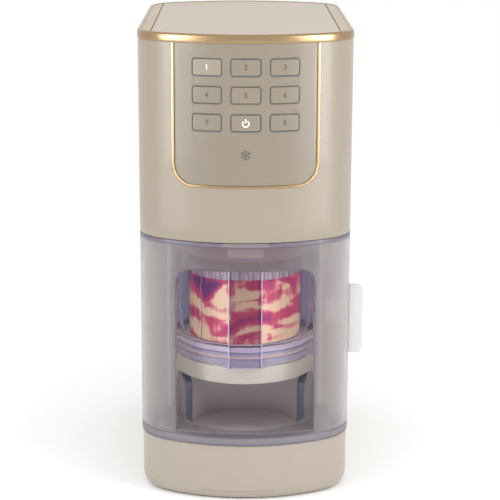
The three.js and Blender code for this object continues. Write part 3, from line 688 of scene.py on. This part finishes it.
# ---- Housing ----
def base():
    """The base's skin, with a moulding line near its foot, and the plinth round the bay."""
    rows = [(0.0008, 0.0085), (0.001, 0.0062), (0.0022, 0.004), (0.0045, 0.0024), (0.0078, 0.0014)]
    rows += [(0.0082, 0.0017), (0.0086, 0.0012), (0.012, 0.001), (BASE_TOP - 0.0006, 0.001)]
    rows += [(BASE_TOP, 0.0016), (BASE_TOP, 0.009), (0.006, 0.009)]
    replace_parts(stacked("base_skin", rows, BASE_SHELL_PAINTED_LIGHT, "housing"), "base_shell")
    ring = []
    for x, y in outline(PLINTH_INSET):
        ring.append((max(-PLINTH_HALF, min(PLINTH_HALF, x)), min(PLINTH_REAR_Y, y)))
    kept = [p for i, p in enumerate(ring) if p != ring[i - 1]]
    loops = [kept, circle(0, BAY_Y, PLINTH_HOLE)]
    slab("chamber_plinth", loops, BASE_TOP - 0.002, PLINTH_TOP, 0.0008, PLINTH, "housing")


def column():
    """The column's skin round the back, its two front edges, and the screwed-on service cover."""
    low, high = BASE_TOP + GAP, HEAD_LOW - 0.0004
    run = HALF_ROUND - (SIDE_START + COLUMN_Y)
    wall = [(-run, low), (run, low), (run, high), (-run, high)]
    hole = rectangle(0, COVER_Z, COVER_SIZE[0] + COVER_JOINT, COVER_SIZE[1] + COVER_JOINT, COVER_CORNER)
    skin = wrapped("column_skin", [wall, hole], 0, WALL, 0.0004, SHELL, "housing", place=on_back)
    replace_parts(skin, "column_shell")
    for side in (-1, 1):
        x0, x1 = sorted(side * x for x in COLUMN_EDGE)
        block("column_edge", (x0, COLUMN_Y, low), (x1, COLUMN_Y + WALL, high), 0.0005, SHELL, "housing")
    lid = rectangle(0, COVER_Z, *COVER_SIZE, COVER_CORNER)
    grip = rectangle(0, 0.195, 0.024, 0.008, 0.003)
    loops = [lid, grip]
    cover = wrapped("service_cover_skin", loops, 0.0002, 0.0023, 0.0004, SHELL, "housing", place=on_back)
    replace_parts(cover, "service_cover")
    for x in (-SCREW_X, SCREW_X):
        for z in SCREW_Z:
            screw = [circle(x, z, 0.0028, 24), rectangle(x, z, 0.0032, 0.0007, 0.0001, 1)]
            wrapped("cover_screw", screw, -0.0001, 0.001, 0.0002, STEEL, "housing", place=on_back)


def chamber():
    """The bay's round wall, in two sides and a back above the slot for the lift's bracket."""
    low, high = PLINTH_TOP + GAP, HEAD_LOW - GAP
    inner, outer = CHAMBER_RADIUS, CHAMBER_RADIUS + LINER_WALL
    side = [(inner, low), (outer, low), (outer, high), (inner, high)]
    sweep = SLOT_START - LINER_START
    liner = turned("liner_wall", side, LINER_PAINTED_GLOW, "housing", start=LINER_START, sweep=sweep)
    turned("liner_wall_left", side, LINER_PAINTED_GLOW, "housing", start=SLOT_END, sweep=sweep)
    back = [(inner, SLOT_TOP), (outer, SLOT_TOP), (outer, high), (inner, high)]
    sweep = SLOT_END - SLOT_START
    turned("liner_wall_back", back, LINER_PAINTED_GLOW, "housing", start=SLOT_START, sweep=sweep, steps=12)
    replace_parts(liner, "chamber_liner")


def panel_shape(grow, top):
    """The panel's outline in s and z, grown outwards. Its last two points are the square top corners."""
    half, low, corner = PANEL_HALF + grow, PANEL_LOW - grow, PANEL_CORNER + grow
    s = reach(half)
    return fillet([(-s, low), (s, low), (s, top), (-s, top)], [corner, corner, 0, 0], PANEL_STEPS)


def in_panel(s, z, grow):
    """Whether a point on the front lies inside the panel's outline, grown outwards."""
    half, low, corner = reach(PANEL_HALF + grow), PANEL_LOW - grow, PANEL_CORNER + grow
    if abs(s) > half or z < low:
        return False
    dx, dz = abs(s) - (half - corner), (low + corner) - z
    return dx <= 0 or dz <= 0 or math.hypot(dx, dz) <= corner


def head():
    """The head's skin, pressed in behind the panel and behind the vents."""
    bm = bmesh.new()
    vent_edge = HALF_ROUND - VENT_HALF
    # Columns 1 mm apart across the panel, and wider ones from there to the vents.
    fine_half = 0.064
    fine = [k * 0.001 for k in range(-64, 65)]
    right = [fine_half + (HALF_ROUND - fine_half - VENT_HALF - 0.003) * k / 90 for k in range(1, 91)]
    right += [vent_edge - 0.0015, vent_edge, vent_edge + VENT_LIP]
    right += [vent_edge + VENT_LIP + (VENT_HALF - VENT_LIP) * k / 24 for k in range(1, 25)]
    columns = [-s for s in reversed(right[:-1])] + fine + right
    rows = [(HEAD_LOW, 0.006), (HEAD_LOW, 0.0008), (HEAD_LOW + 0.0003, 0.0002), (HEAD_LOW + 0.0009, 0)]
    heights = [0.240, 0.255, 0.268, 0.271]
    heights += [0.272 + 0.001 * k for k in range(24)]
    heights += [VENT_LOW - VENT_LIP, VENT_LOW, VENT_LOW + VENT_LIP, (VENT_LOW + VENT_HIGH) / 2]
    heights += [VENT_HIGH - VENT_LIP, VENT_HIGH, VENT_HIGH + VENT_LIP, HEAD_HIGH]
    rows += [(z, 0) for z in heights]
    rows += [(HEAD_HIGH, 0.006)]
    grid = []
    for z, inset in rows:
        line = []
        for s in columns:
            depth = inset
            if inset == 0 and in_panel(s, z, TRIM / 2):
                depth = PANEL_DEPTH
            if inset == 0 and abs(s) > vent_edge + 0.0001 and VENT_LOW < z < VENT_HIGH:
                depth = VENT_DEPTH
            line.append(bm.verts.new(on_body(s, z, depth)))
        grid.append(line)
    for lower, upper in zip(grid, grid[1:]):
        for k in range(len(columns)):
            j = (k + 1) % len(columns)
            bm.faces.new((lower[k], lower[j], upper[j], upper[k]))
    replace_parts(finish_mesh("head_skin", bm, SHELL, "housing"), "head_shell")


def vents():
    """The slotted grille in the back of the head, with a dark plate behind it as painted shade."""
    middle, width, height = (VENT_LOW + VENT_HIGH) / 2, 2 * VENT_HALF, VENT_HIGH - VENT_LOW
    border = rectangle(0, middle, width - 0.0008, height - 0.0008, 0.003)
    slots = [rectangle(0, z / 1000 + 0.002, 0.076, 0.0036, 0.0017) for z in range(308, 360, 8)]
    grille = wrapped("grille", [border] + slots, 0.0001, 0.0026, 0.0004, SHELL, "housing", place=on_back)
    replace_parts(grille, "vent_grille")
    # A dark plate behind the slots: painted shade for the dark inside of the head.
    backing = rectangle(0, middle, width - 0.003, height - 0.003, 0.001)
    wrapped("vent_shadow", [backing], 0.003, 0.0004, 0.0001, DARK, "housing", place=on_back)


def key_loop(x, z, shrink):
    """A key's outline on the panel, made smaller all round."""
    width = 2 * reach(KEY_SIZE[0] / 2) - 2 * shrink
    return rectangle(reach(x), z, width, KEY_SIZE[1] - 2 * shrink, KEY_CORNER - shrink)


def control_panel():
    """The panel with its key holes, the gold line round it, and a backing plate that the stems go through."""
    places = [(x, z) for x in KEY_COLUMNS for z in KEY_ROWS]
    loops = [panel_shape(-0.0001, HEAD_HIGH)] + [key_loop(x, z, 0) for x, z in places]
    face = wrapped("panel_face", loops, 0.0001, 0.0016, 0.00015, PANEL, "housing")
    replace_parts(face, "control_panel")
    outer, inner = panel_shape(TRIM, HEAD_HIGH), panel_shape(0, HEAD_HIGH)
    band = outer[:-1] + inner[-2::-1] + [inner[-1], outer[-1]]
    trim = wrapped("trim_band", [band], -0.0004, 0.002, 0.0005, GOLD, "housing")
    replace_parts(trim, "panel_trim")
    stems = [rectangle(reach(x), z, *KEY_STEM, 0.0003, 1) for x, z in places]
    loops = [panel_shape(-0.002, HEAD_HIGH - 0.001)] + stems
    wrapped("panel_backing", loops, 0.0036, 0.0004, 0.0001, GROOVE, "housing")


def glyph(name, loop, body, look):
    """A mark printed on a key."""
    wrapped(name, [loop], -0.00025, 0.0003, 0.00002, look, body, step=0.001)


def ring_arc(cx, cz, radius, width, start, sweep):
    """Part of a flat ring, drawn as a closed loop."""
    steps = 20
    outer, inner = [], []
    for k in range(steps + 1):
        a = math.radians(start + sweep * k / steps)
        outer.append((cx + (radius + width / 2) * math.cos(a), cz + (radius + width / 2) * math.sin(a)))
        inner.append((cx + (radius - width / 2) * math.cos(a), cz + (radius - width / 2) * math.sin(a)))
    return outer + inner[::-1]


def numeral(digit, x, z, body, look):
    """A number printed on a key."""
    text = bpy.data.curves.new("numeral", "FONT")
    text.body = digit
    text.size = NUMERAL_SIZE
    text.align_x = "CENTER"
    text.align_y = "CENTER"
    text.extrude = 0.00012
    bm = mesh_from(bpy.data.objects.new("numeral", text))
    for v in bm.verts:
        v.co = on_body(reach(x) + v.co.x, z + v.co.y, -0.0002 - v.co.z)
    finish_mesh(body + "_numeral", bm, look, body)


def keys():
    """The nine keys with the grooves round them. One and the power key are lit."""
    digit = 0
    for r, z in enumerate(KEY_ROWS):
        for c, x in enumerate(KEY_COLUMNS):
            name = f"key_{ROW_NAMES[r]}_{COLUMN_NAMES[c]}"
            look = LIT_CAP if (r, c) == LIT_KEY else PANEL
            cap = wrapped(name + "_cap", [key_loop(x, z, KEY_GROOVE)], -0.0001, 0.0022, 0.0003, look, name)
            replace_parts(cap, name)
            ring = [key_loop(x, z, 0.00004), key_loop(x, z, KEY_GROOVE - PRESS_SHIFT)]
            wrapped("key_groove", ring, 0.00025, 0.0012, 0.00005, GROOVE, "housing")
            if (r, c) == POWER_KEY:
                s = reach(x)
                glyph("power_ring", ring_arc(s, z - 0.0004, 0.0026, 0.0007, 125, 290), name, LIT)
                glyph("power_bar", rectangle(s, z + 0.0018, 0.0007, 0.0032, 0.0003, 2), name, LIT)
                continue
            digit += 1
            numeral(str(digit), x, z, name, LIT if (r, c) == LIT_KEY else INK)


def emblem():
    """A plain snowflake below the keys, printed on the panel."""
    for k in range(3):
        turn = Matrix.Rotation(math.radians(60 * k + 90), 2)
        bars = [rectangle(0, 0, 2 * EMBLEM_ARM, EMBLEM_LINE, 0.0002, 2)]
        for side in (-1, 1):
            for lean in (-1, 1):
                tip = Vector((side * (EMBLEM_ARM - 0.0004), lean * 0.0015))
                root = Vector((side * (EMBLEM_ARM - 0.0019), 0))
                across = (tip - root).orthogonal().normalized() * EMBLEM_LINE * 0.4
                corners = (root - across, tip - across, tip + across, root + across)
                bars.append([tuple(corner) for corner in corners])
        for bar in bars:
            loop = [tuple(turn @ Vector(p) + Vector((0, EMBLEM_Z))) for p in bar]
            wrapped("snowflake", [loop], -0.00004, 0.0003, 0.00002, INK, "housing", step=0.001)


def rim():
    """The gold band round the top, and the deck inside it with a seam along each side."""
    rows = [(RIM_LOW - 0.0002, 0.003), (RIM_LOW - 0.0002, 0), (RIM_LOW + 0.0002, -0.0003)]
    rows += [(RIM_LOW + 0.001, -0.0005), (HEIGHT - 0.0026, -0.0005), (HEIGHT - 0.0013, -0.0001)]
    rows += [(HEIGHT - 0.0004, 0.0008), (HEIGHT, 0.0020), (HEIGHT - 0.0002, 0.0026), (HEIGHT - 0.0006, 0.003)]
    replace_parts(stacked("rim_band", rows, GOLD, "housing"), "gold_rim")
    edge = outline(DECK_INSET, 0.0015)
    centre = [(x, y) for x, y in edge if abs(x) < SEAM_X - SEAM_HALF]
    right = [(x, y) for x, y in edge if x > SEAM_X + SEAM_HALF]
    left = [(x, y) for x, y in edge if x < -SEAM_X - SEAM_HALF]
    deck = slab("deck_plate", [centre], DECK_LOW, DECK_HIGH, 0.0002, DECK, "housing")
    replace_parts(deck, "top_deck")
    half = len(left) // 2
    slab("deck_side_left", [left[half:] + left[:half]], DECK_LOW, DECK_HIGH, 0.0002, DECK_SIDE, "housing")
    slab("deck_side_right", [right], DECK_LOW, DECK_HIGH, 0.0002, DECK_SIDE, "housing")
    slab("deck_under", [outline(0.004)], HEIGHT - 0.0032, DECK_LOW - 0.0001, 0.0001, DECK_SIDE, "housing")


# ---- Door ----
def window_loop(grow):
    """The window's outline in s and z, grown outwards. Its lower corners are nearly square."""
    s, low, high = reach(WINDOW_HALF) + grow, WINDOW_LOW - grow, WINDOW_HIGH + grow
    corners = [WINDOW_FOOT_CORNER, WINDOW_FOOT_CORNER, WINDOW_CORNER + grow, WINDOW_CORNER + grow]
    return fillet([(-s, low), (s, low), (s, high), (-s, high)], corners, 10)


def door():
    """The frosted door with its clear window, the lines along its top and foot, its hinge and its tab."""
    run = SIDE_START + DOOR_REAR_Y
    foot_top, brow_low = DOOR_LOW + DOOR_FOOT, DOOR_HIGH - DOOR_BROW
    sheet = [(-run, foot_top), (run, foot_top), (run, brow_low), (-run, brow_low)]
    skin = wrapped("door_skin", [sheet, window_loop(WINDOW_LINE)], 0, DOOR_SHEET, 0.0003, FROSTED, "door")
    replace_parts(skin, "door_shell")
    edge = [window_loop(WINDOW_LINE - 0.00005), window_loop(-WINDOW_LINE + 0.00005)]
    wrapped("window_edge", edge, 0.0001, 0.0024, 0.00005, WINDOW_EDGE, "door")
    pane = wrapped("window_pane", [window_loop(-WINDOW_LINE)], 0.0002, 0.0022, 0.0003, WINDOW, "door")
    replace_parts(pane, "door_window")
    notch = reach(NOTCH_HALF)
    root = notch + NOTCH_SLOPE
    for side in (-1, 1):
        loop = [(side * root, brow_low), (side * run, brow_low)]
        loop += [(side * run, DOOR_HIGH), (side * notch, DOOR_HIGH)]
        wrapped("door_brow", [loop[::side]], 0, DOOR_SHEET, 0.0005, DOOR_EDGE, "door")
    loop = [(-root, brow_low), (root, brow_low), (notch, DOOR_HIGH), (-notch, DOOR_HIGH)]
    wrapped("door_notch", [loop], 0.0004, 0.0022, 0.0004, NOTCH, "door")
    heights = (DOOR_LOW, DOOR_LOW + 0.0011, foot_top - DOOR_LINE, foot_top)
    for low, high, look in zip(heights, heights[1:], (DOOR_EDGE, FOOT_BAND, DOOR_EDGE)):
        loop = [(-run, low), (run, low), (run, high), (-run, high)]
        wrapped("door_foot", [loop], 0, DOOR_SHEET, 0.0003, look, "door")
    for z in (DOOR_LOW + 0.0004, DOOR_HIGH - 0.0074):
        top = z + KNUCKLE_HEIGHT
        knuckle = [(KNUCKLE_HOLE, z), (KNUCKLE, z), (KNUCKLE, top), (KNUCKLE_HOLE, top)]
        turned("door_knuckle", knuckle, DOOR_EDGE, "door", centre=ORIGIN + Vector((*HINGE, 0)), steps=40)
        block("door_arm", (-0.0883, 0.0202, z), (-0.0874, 0.0275, top), 0.0003, DOOR_EDGE, "door")
    (x0, x1), (z0, z1) = TAB_X, TAB_Z
    corners = [0.0008, TAB_CORNER, TAB_CORNER, 0.0008]
    grip = fillet([(x0, z0), (x1, z0), (x1, z1), (x0, z1)], corners, 8)
    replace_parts(upright("door_tab", [grip], 0.0, TAB_DEPTH, 0.0008, TAB, "door"), "door_handle")


# ---- Lifting platform and what it carries ----
def on_cradle(s, z, depth):
    """The point s round the cradle from the front, at z, that lies that deep in its wall."""
    a = s / CRADLE_RADIUS - math.pi / 2
    r = CRADLE_RADIUS - depth
    return BAY + Vector((r * math.cos(a), r * math.sin(a), z))


def platform():
    """The open-fronted wall that rises with the platform, and the platform's ring."""
    near = math.radians(CRADLE_OPENING) * CRADLE_RADIUS
    flared = math.radians(FLARE_OPENING) * CRADLE_RADIUS
    round_trip = 2 * (math.pi * CRADLE_RADIUS)
    points = [(near, CRADLE_LOW), (round_trip - near, CRADLE_LOW), (round_trip - near, FLARE_Z)]
    points += [(round_trip - flared, CRADLE_HIGH), (flared, CRADLE_HIGH), (near, FLARE_Z)]
    loop = fillet(points, [0.0004, 0.0004, 0.006, 0.0005, 0.0005, 0.006], 6)
    wall = ([loop], 0, CRADLE_WALL, 0.0004)
    cradle = wrapped("cradle_wall", *wall, CRADLE, "lift_carriage", place=on_cradle, step=0.002)
    cradle.data.materials.append(JAMB_PAINTED_SHADE)
    cradle.data.materials.append(PLINTH)
    # The wall's ends and lower edge are the dark jambs, coloured dark as painted shade, and its outer face
    # matches the plinth.
    for face in cradle.data.polygons:
        spoke = face.center - BAY
        away = math.hypot(spoke.x, spoke.y)
        round_normal = abs(face.normal.x * spoke.y - face.normal.y * spoke.x) / away
        if round_normal > 0.6 or face.normal.z < -0.3:
            face.material_index = 1
        elif away > CRADLE_RADIUS - 0.0006:
            face.material_index = 2
    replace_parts(cradle, "lift_cradle")
    dish, under, hub = 0.110, 0.105, 0.045
    profile = [(0, under), (hub, under), (hub, PLATFORM_LOW), (PLATFORM_RADIUS, PLATFORM_LOW)]
    profile += [(PLATFORM_RADIUS, PLATFORM_HIGH), (0.0515, PLATFORM_HIGH), (0.0515, dish), (0, dish)]
    corners = [0, 0.0005, 0.0005, 0.0008, 0.0012, 0.0008, 0.0005, 0]
    ring = turned("platform_ring", fillet(profile, corners, 4), RING, "lift_carriage")
    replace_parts(ring, "platform")


def bowl_ring(name, proud, low, high, look):
    """A thin skin round the outside of the bowl, where moulded lines and bands show; the lines' colours are
    painted light.
    """
    inner, outer = BOWL_RADIUS + proud - 0.0004, BOWL_RADIUS + proud
    turned(name, [(inner, low), (outer, low), (outer, high), (inner, high)], look, "bowl", angle=60)


def bowl():
    """The clear bowl with the lines round its base, and its hollow handle at the front."""
    r, inner, seat = BOWL_RADIUS, BOWL_RADIUS - BOWL_WALL, 0.052
    heel = [math.radians(15 * k) for k in range(7)]  # the inside narrows towards the floor
    step = [(inner - 0.0058 * (1 - math.cos(a)), 0.1545 - 0.0235 * math.sin(a)) for a in heel]
    wall = [(seat, BOWL_LOW), (r, BOWL_LOW), (r, BOWL_TOP), (inner, BOWL_TOP)]
    profile = fillet(wall, [0.0006, 0.002, 0.0008, 0.0008], 4) + step
    profile += [(0, BOWL_FLOOR), (0, BOWL_FLOOR - BOWL_WALL), (seat, BOWL_FLOOR - BOWL_WALL)]
    cup = turned("bowl_cup", profile, CLEAR, "bowl")
    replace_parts(cup, "outer_bowl")
    # The base's lines are moulded, and their colours are painted: a pale highlight, bluish reflections, and
    # the mix seen through the plastic as a peach line.
    bowl_ring("bowl_line_pale", 0.0001, 0.1336, 0.1342, PALE_PAINTED_HIGHLIGHT)
    bowl_ring("bowl_line_blue", 0.0002, 0.1258, 0.1274, BLUE_SEAM_AND_REFLECTION)
    bowl_ring("bowl_line_peach", 0.0002, 0.1222, 0.1236, PEACH_PAINTED_REFRACTION)
    bowl_ring("bowl_line_low", 0.0002, 0.1204, 0.1211, BLUE_SEAM_AND_REFLECTION)
    bowl_ring("bowl_base_skin", 0.00005, 0.1150, 0.1316, BOWL_BASE)
    # A pale disc in the bowl's floor: painted light that brightens the shaded base.
    disc = [(0, 0.1272), (0.0594, 0.1272), (0.0594, 0.1288), (0, 0.1288)]
    turned("bowl_floor", disc, BOWL_FLOOR_PAINTED_LIGHT, "bowl")
    seam = math.degrees(math.asin(BOWL_SEAM_X / BOWL_RADIUS))
    strip = [(r, 0.1345), (r + 0.0003, 0.1345), (r + 0.0003, 0.2058), (r, 0.2058)]
    turned("bowl_seam", strip, BLUE_SEAM_AND_REFLECTION, "bowl", start=-90 - seam, sweep=0.8, steps=2)
    handle()


def handle():
    """The bowl's hollow handle: a face, two sides, a painted highlight line down each edge and a flared foot.
    """
    half, front = HANDLE_HALF, HANDLE_Y
    rear = front + HANDLE_WALL
    block("handle_face", (-half, front, HANDLE_LOW), (half, rear, 0.212), 0.0006, HANDLE, "bowl")
    for side in (-1, 1):
        a, b = sorted((side * half, side * (half - HANDLE_WALL)))
        block("handle_side", (a, rear, HANDLE_LOW), (b, HANDLE_REAR_Y, BOWL_TOP), 0.0004, CLEAR, "bowl")
        # A pale line down each front edge: painted highlight.
        c = side * (half - HANDLE_LINE)
        low, high = (c - HANDLE_LINE, front - 0.0003, 0.118), (c + HANDLE_LINE, front, 0.211)
        block("handle_line", low, high, 0.0002, CLEAR_EDGE_HIGHLIGHT, "bowl")
    flare = [(-half, front), (half, front), (half + 0.002, front + 0.004), (0.024, HANDLE_REAR_Y)]
    flare += [(-0.024, HANDLE_REAR_Y), (-half - 0.002, front + 0.004)]
    loop = fillet(flare, [0.001, 0.001, 0.002, 0.001, 0.001, 0.002], 3)
    slab("handle_foot", [loop], 0.1165, 0.1182, 0.0004, HANDLE_FOOT, "bowl")


def contents():
    """The tub with its ribbed band, and the mix, which shortens under the blade."""
    r, shoulder, floor = TUB_RADIUS, TUB_TOP - 0.004, TUB_LOW + 0.0016
    profile = [(0, TUB_LOW), (r - 0.001, TUB_LOW), (r, shoulder), (r + TUB_LIP, shoulder)]
    profile += [(r + TUB_LIP, TUB_TOP), (r - 0.0003, TUB_TOP), (r - 0.0013, floor), (0, floor)]
    profile = fillet(profile, [0, 0.002, 0.0005, 0.0008, 0.001, 0.0005, 0.002, 0], 3)
    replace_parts(turned("tub_wall", profile, TUB_CLEAR, "bowl"), "tub")
    ribs()
    band = [(r - 0.0001, RIB_LOW), (r + 0.0002, RIB_LOW), (r + 0.0002, RIB_HIGH), (r - 0.0001, RIB_HIGH)]
    turned("tub_band", band, RIB_BAND, "bowl")
    mix = [(0, MIX_LOW), (r - 0.0015, MIX_LOW), (r - 0.0005, MIX_HIGH - 0.002), (0.0485, MIX_HIGH - 0.0006)]
    mix += [(0.042, MIX_HIGH - 0.001), (0.03, MIX_HIGH - 0.0004)]
    mix += [(0.016, MIX_HIGH - 0.0012), (0, MIX_HIGH - 0.0006)]
    body = turned("mix_body", mix, MIX, "bowl")
    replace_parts(body, "frozen_mix")
    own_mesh(body)


def ribs():
    """The upright ribs round the tub's top, of uneven widths, as one piece."""
    bm = bmesh.new()
    low, high = TUB_RADIUS, TUB_RADIUS + RIB_HEIGHT
    for k in range(RIB_COUNT):
        start = 2 * math.pi * k / RIB_COUNT
        end = start + math.radians(1.6 + 1.2 * math.sin(k * 2.4))
        corners = []
        for z in (RIB_LOW, RIB_HIGH):
            for radius, a in ((low, start), (high, start), (high, end), (low, end)):
                corners.append(bm.verts.new(BAY + Vector((radius * math.cos(a), radius * math.sin(a), z))))
        for face in ((0, 1, 2, 3), (4, 5, 6, 7), (0, 1, 5, 4), (1, 2, 6, 5), (2, 3, 7, 6), (3, 0, 4, 7)):
            bm.faces.new([corners[i] for i in face])
    finish_mesh("tub_ribs", bm, RIB, "bowl")


def lid():
    """The bowl's lid, with a collar round the bush and a tab at the front."""
    collar_inner, collar_outer, collar_top = LID_COLLAR
    under, r, inner = LID_TOP - 0.0035, LID_RADIUS, 0.056
    profile = [(collar_inner, under), (inner, under), (inner, LID_LOW), (r, LID_LOW), (r, LID_TOP - 0.001)]
    profile += [(r - 0.002, LID_TOP), (collar_outer, LID_TOP)]
    profile += [(collar_outer, collar_top), (collar_inner, collar_top)]
    corners = [0.0004, 0.002, 0.0008, 0.0012, 0.002, 0.002, 0.0015, 0.0008, 0.0006]
    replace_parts(turned("lid_cap", fillet(profile, corners, 3), LID, "lid"), "bowl_lid")
    block("lid_tab", (-0.015, -0.0488, 0.2126), (0.015, -0.034, 0.2205), 0.0015, LID_TAB, "lid")


# ---- CAD nodes that stay as they are ----
KEPT = {
    RUBBER: ["foot_front_left", "foot_front_right", "foot_rear_left", "foot_rear_right",
             "cord_gland", "lid_seal"],
    DARK: ["base_cover", "feed_motor"],
    WELL: ["well_liner"],
    STEEL: ["hinge_pin_lower", "hinge_pin_upper", "lift_bracket", "lift_screw", "lift_motor", "lift_frame",
            "lid_bush", "blade", "spindle", "feed_screw", "drive_frame", "motor_housing"],
    BRASS: ["lift_pinion", "motor_pinion"],
    ROTOR: ["motor_rotor"],
    GEAR: ["lift_gear", "drive_gear", "feed_carriage", "motor_fan"],
    BOARD: ["key_board", "power_board"],
    LIGHT_SHELL: ["head_floor", "door_catch"],
}


def kept_nodes():
    """Gives every CAD node that no piece stands for its material."""
    for look, names in KEPT.items():
        for name in names:
            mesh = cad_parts[name].data
            mesh.materials.clear()
            mesh.materials.append(look)


# ---- Stage, light and camera ----
def stage():
    """A plain pale floor."""
    bpy.ops.mesh.primitive_plane_add(size=12, location=(0, 2, 0))
    floor = bpy.context.object
    floor.name = "studio_floor"
    floor.data.materials.append(surface("floor", (0.975, 0.975, 0.975, 1), 0.8, vary=0.005))


def light(name, place, size, power, diffuse=True, glossy=True):
    """A soft lamp that faces the machine. It can leave out its matt light or its reflection."""
    data = bpy.data.lights.new(name, "AREA")
    data.shape = "RECTANGLE"
    data.size, data.size_y = size
    data.energy = power
    lamp = bpy.data.objects.new(name, data)
    bpy.context.scene.collection.objects.link(lamp)
    lamp.location = place
    aim = Vector(LAMP_AIM) - Vector(place)
    lamp.rotation_euler = aim.to_track_quat("-Z", "Y").to_euler()
    lamp.visible_diffuse = diffuse
    lamp.visible_glossy = glossy


def lighting():
    """A bright surround, a strip and a broader sheen on each side, and a weak front lamp."""
    light("strip_right", (1.04, -0.72, 0.62), (0.3, 1.2), 7)
    light("strip_left", (-1.0, -0.78, 0.62), (0.3, 1.2), 5)
    light("sheen_right", (0.96, -0.86, 0.62), (0.5, 1.2), 7, diffuse=False)
    light("sheen_left", (-0.94, -0.9, 0.62), (0.5, 1.2), 7, diffuse=False)
    light("front", (0.1, -2.6, 0.3), (0.8, 0.5), 7, glossy=False)
    world = bpy.data.worlds.new("studio")
    world.use_nodes = True
    background = world.node_tree.nodes["Background"]
    background.inputs["Color"].default_value = (1, 1, 1, 1)
    background.inputs["Strength"].default_value = 1.02
    bpy.context.scene.world = world


def camera():
    """The camera in front of the machine, looking down at it."""
    data = bpy.data.cameras.new("camera")
    data.lens = CAMERA_LENS
    data.sensor_width = 36
    data.clip_end = 50
    eye = bpy.data.objects.new("camera", data)
    bpy.context.scene.collection.objects.link(eye)
    down, turn, roll = math.radians(CAMERA_DOWN), math.radians(CAMERA_TURN), math.radians(CAMERA_ROLL)
    forward = Vector((math.sin(turn) * math.cos(down), math.cos(turn) * math.cos(down), -math.sin(down)))
    level = Vector((math.cos(turn), -math.sin(turn), 0))
    upward = level.cross(forward)
    right = level * math.cos(roll) + upward * math.sin(roll)
    up = right.cross(forward)
    place = ORIGIN + Vector(CAMERA_PLACE)
    eye.matrix_world = Matrix((
        (right.x, up.x, -forward.x, place.x),
        (right.y, up.y, -forward.y, place.y),
        (right.z, up.z, -forward.z, place.z),
        (0, 0, 0, 1),
    ))
    bpy.context.scene.camera = eye
    bpy.context.scene.view_settings.view_transform = "Standard"


base()
column()
chamber()
head()
vents()
control_panel()
keys()
emblem()
rim()
door()
platform()
bowl()
contents()
lid()
kept_nodes()
stage()
lighting()
camera()
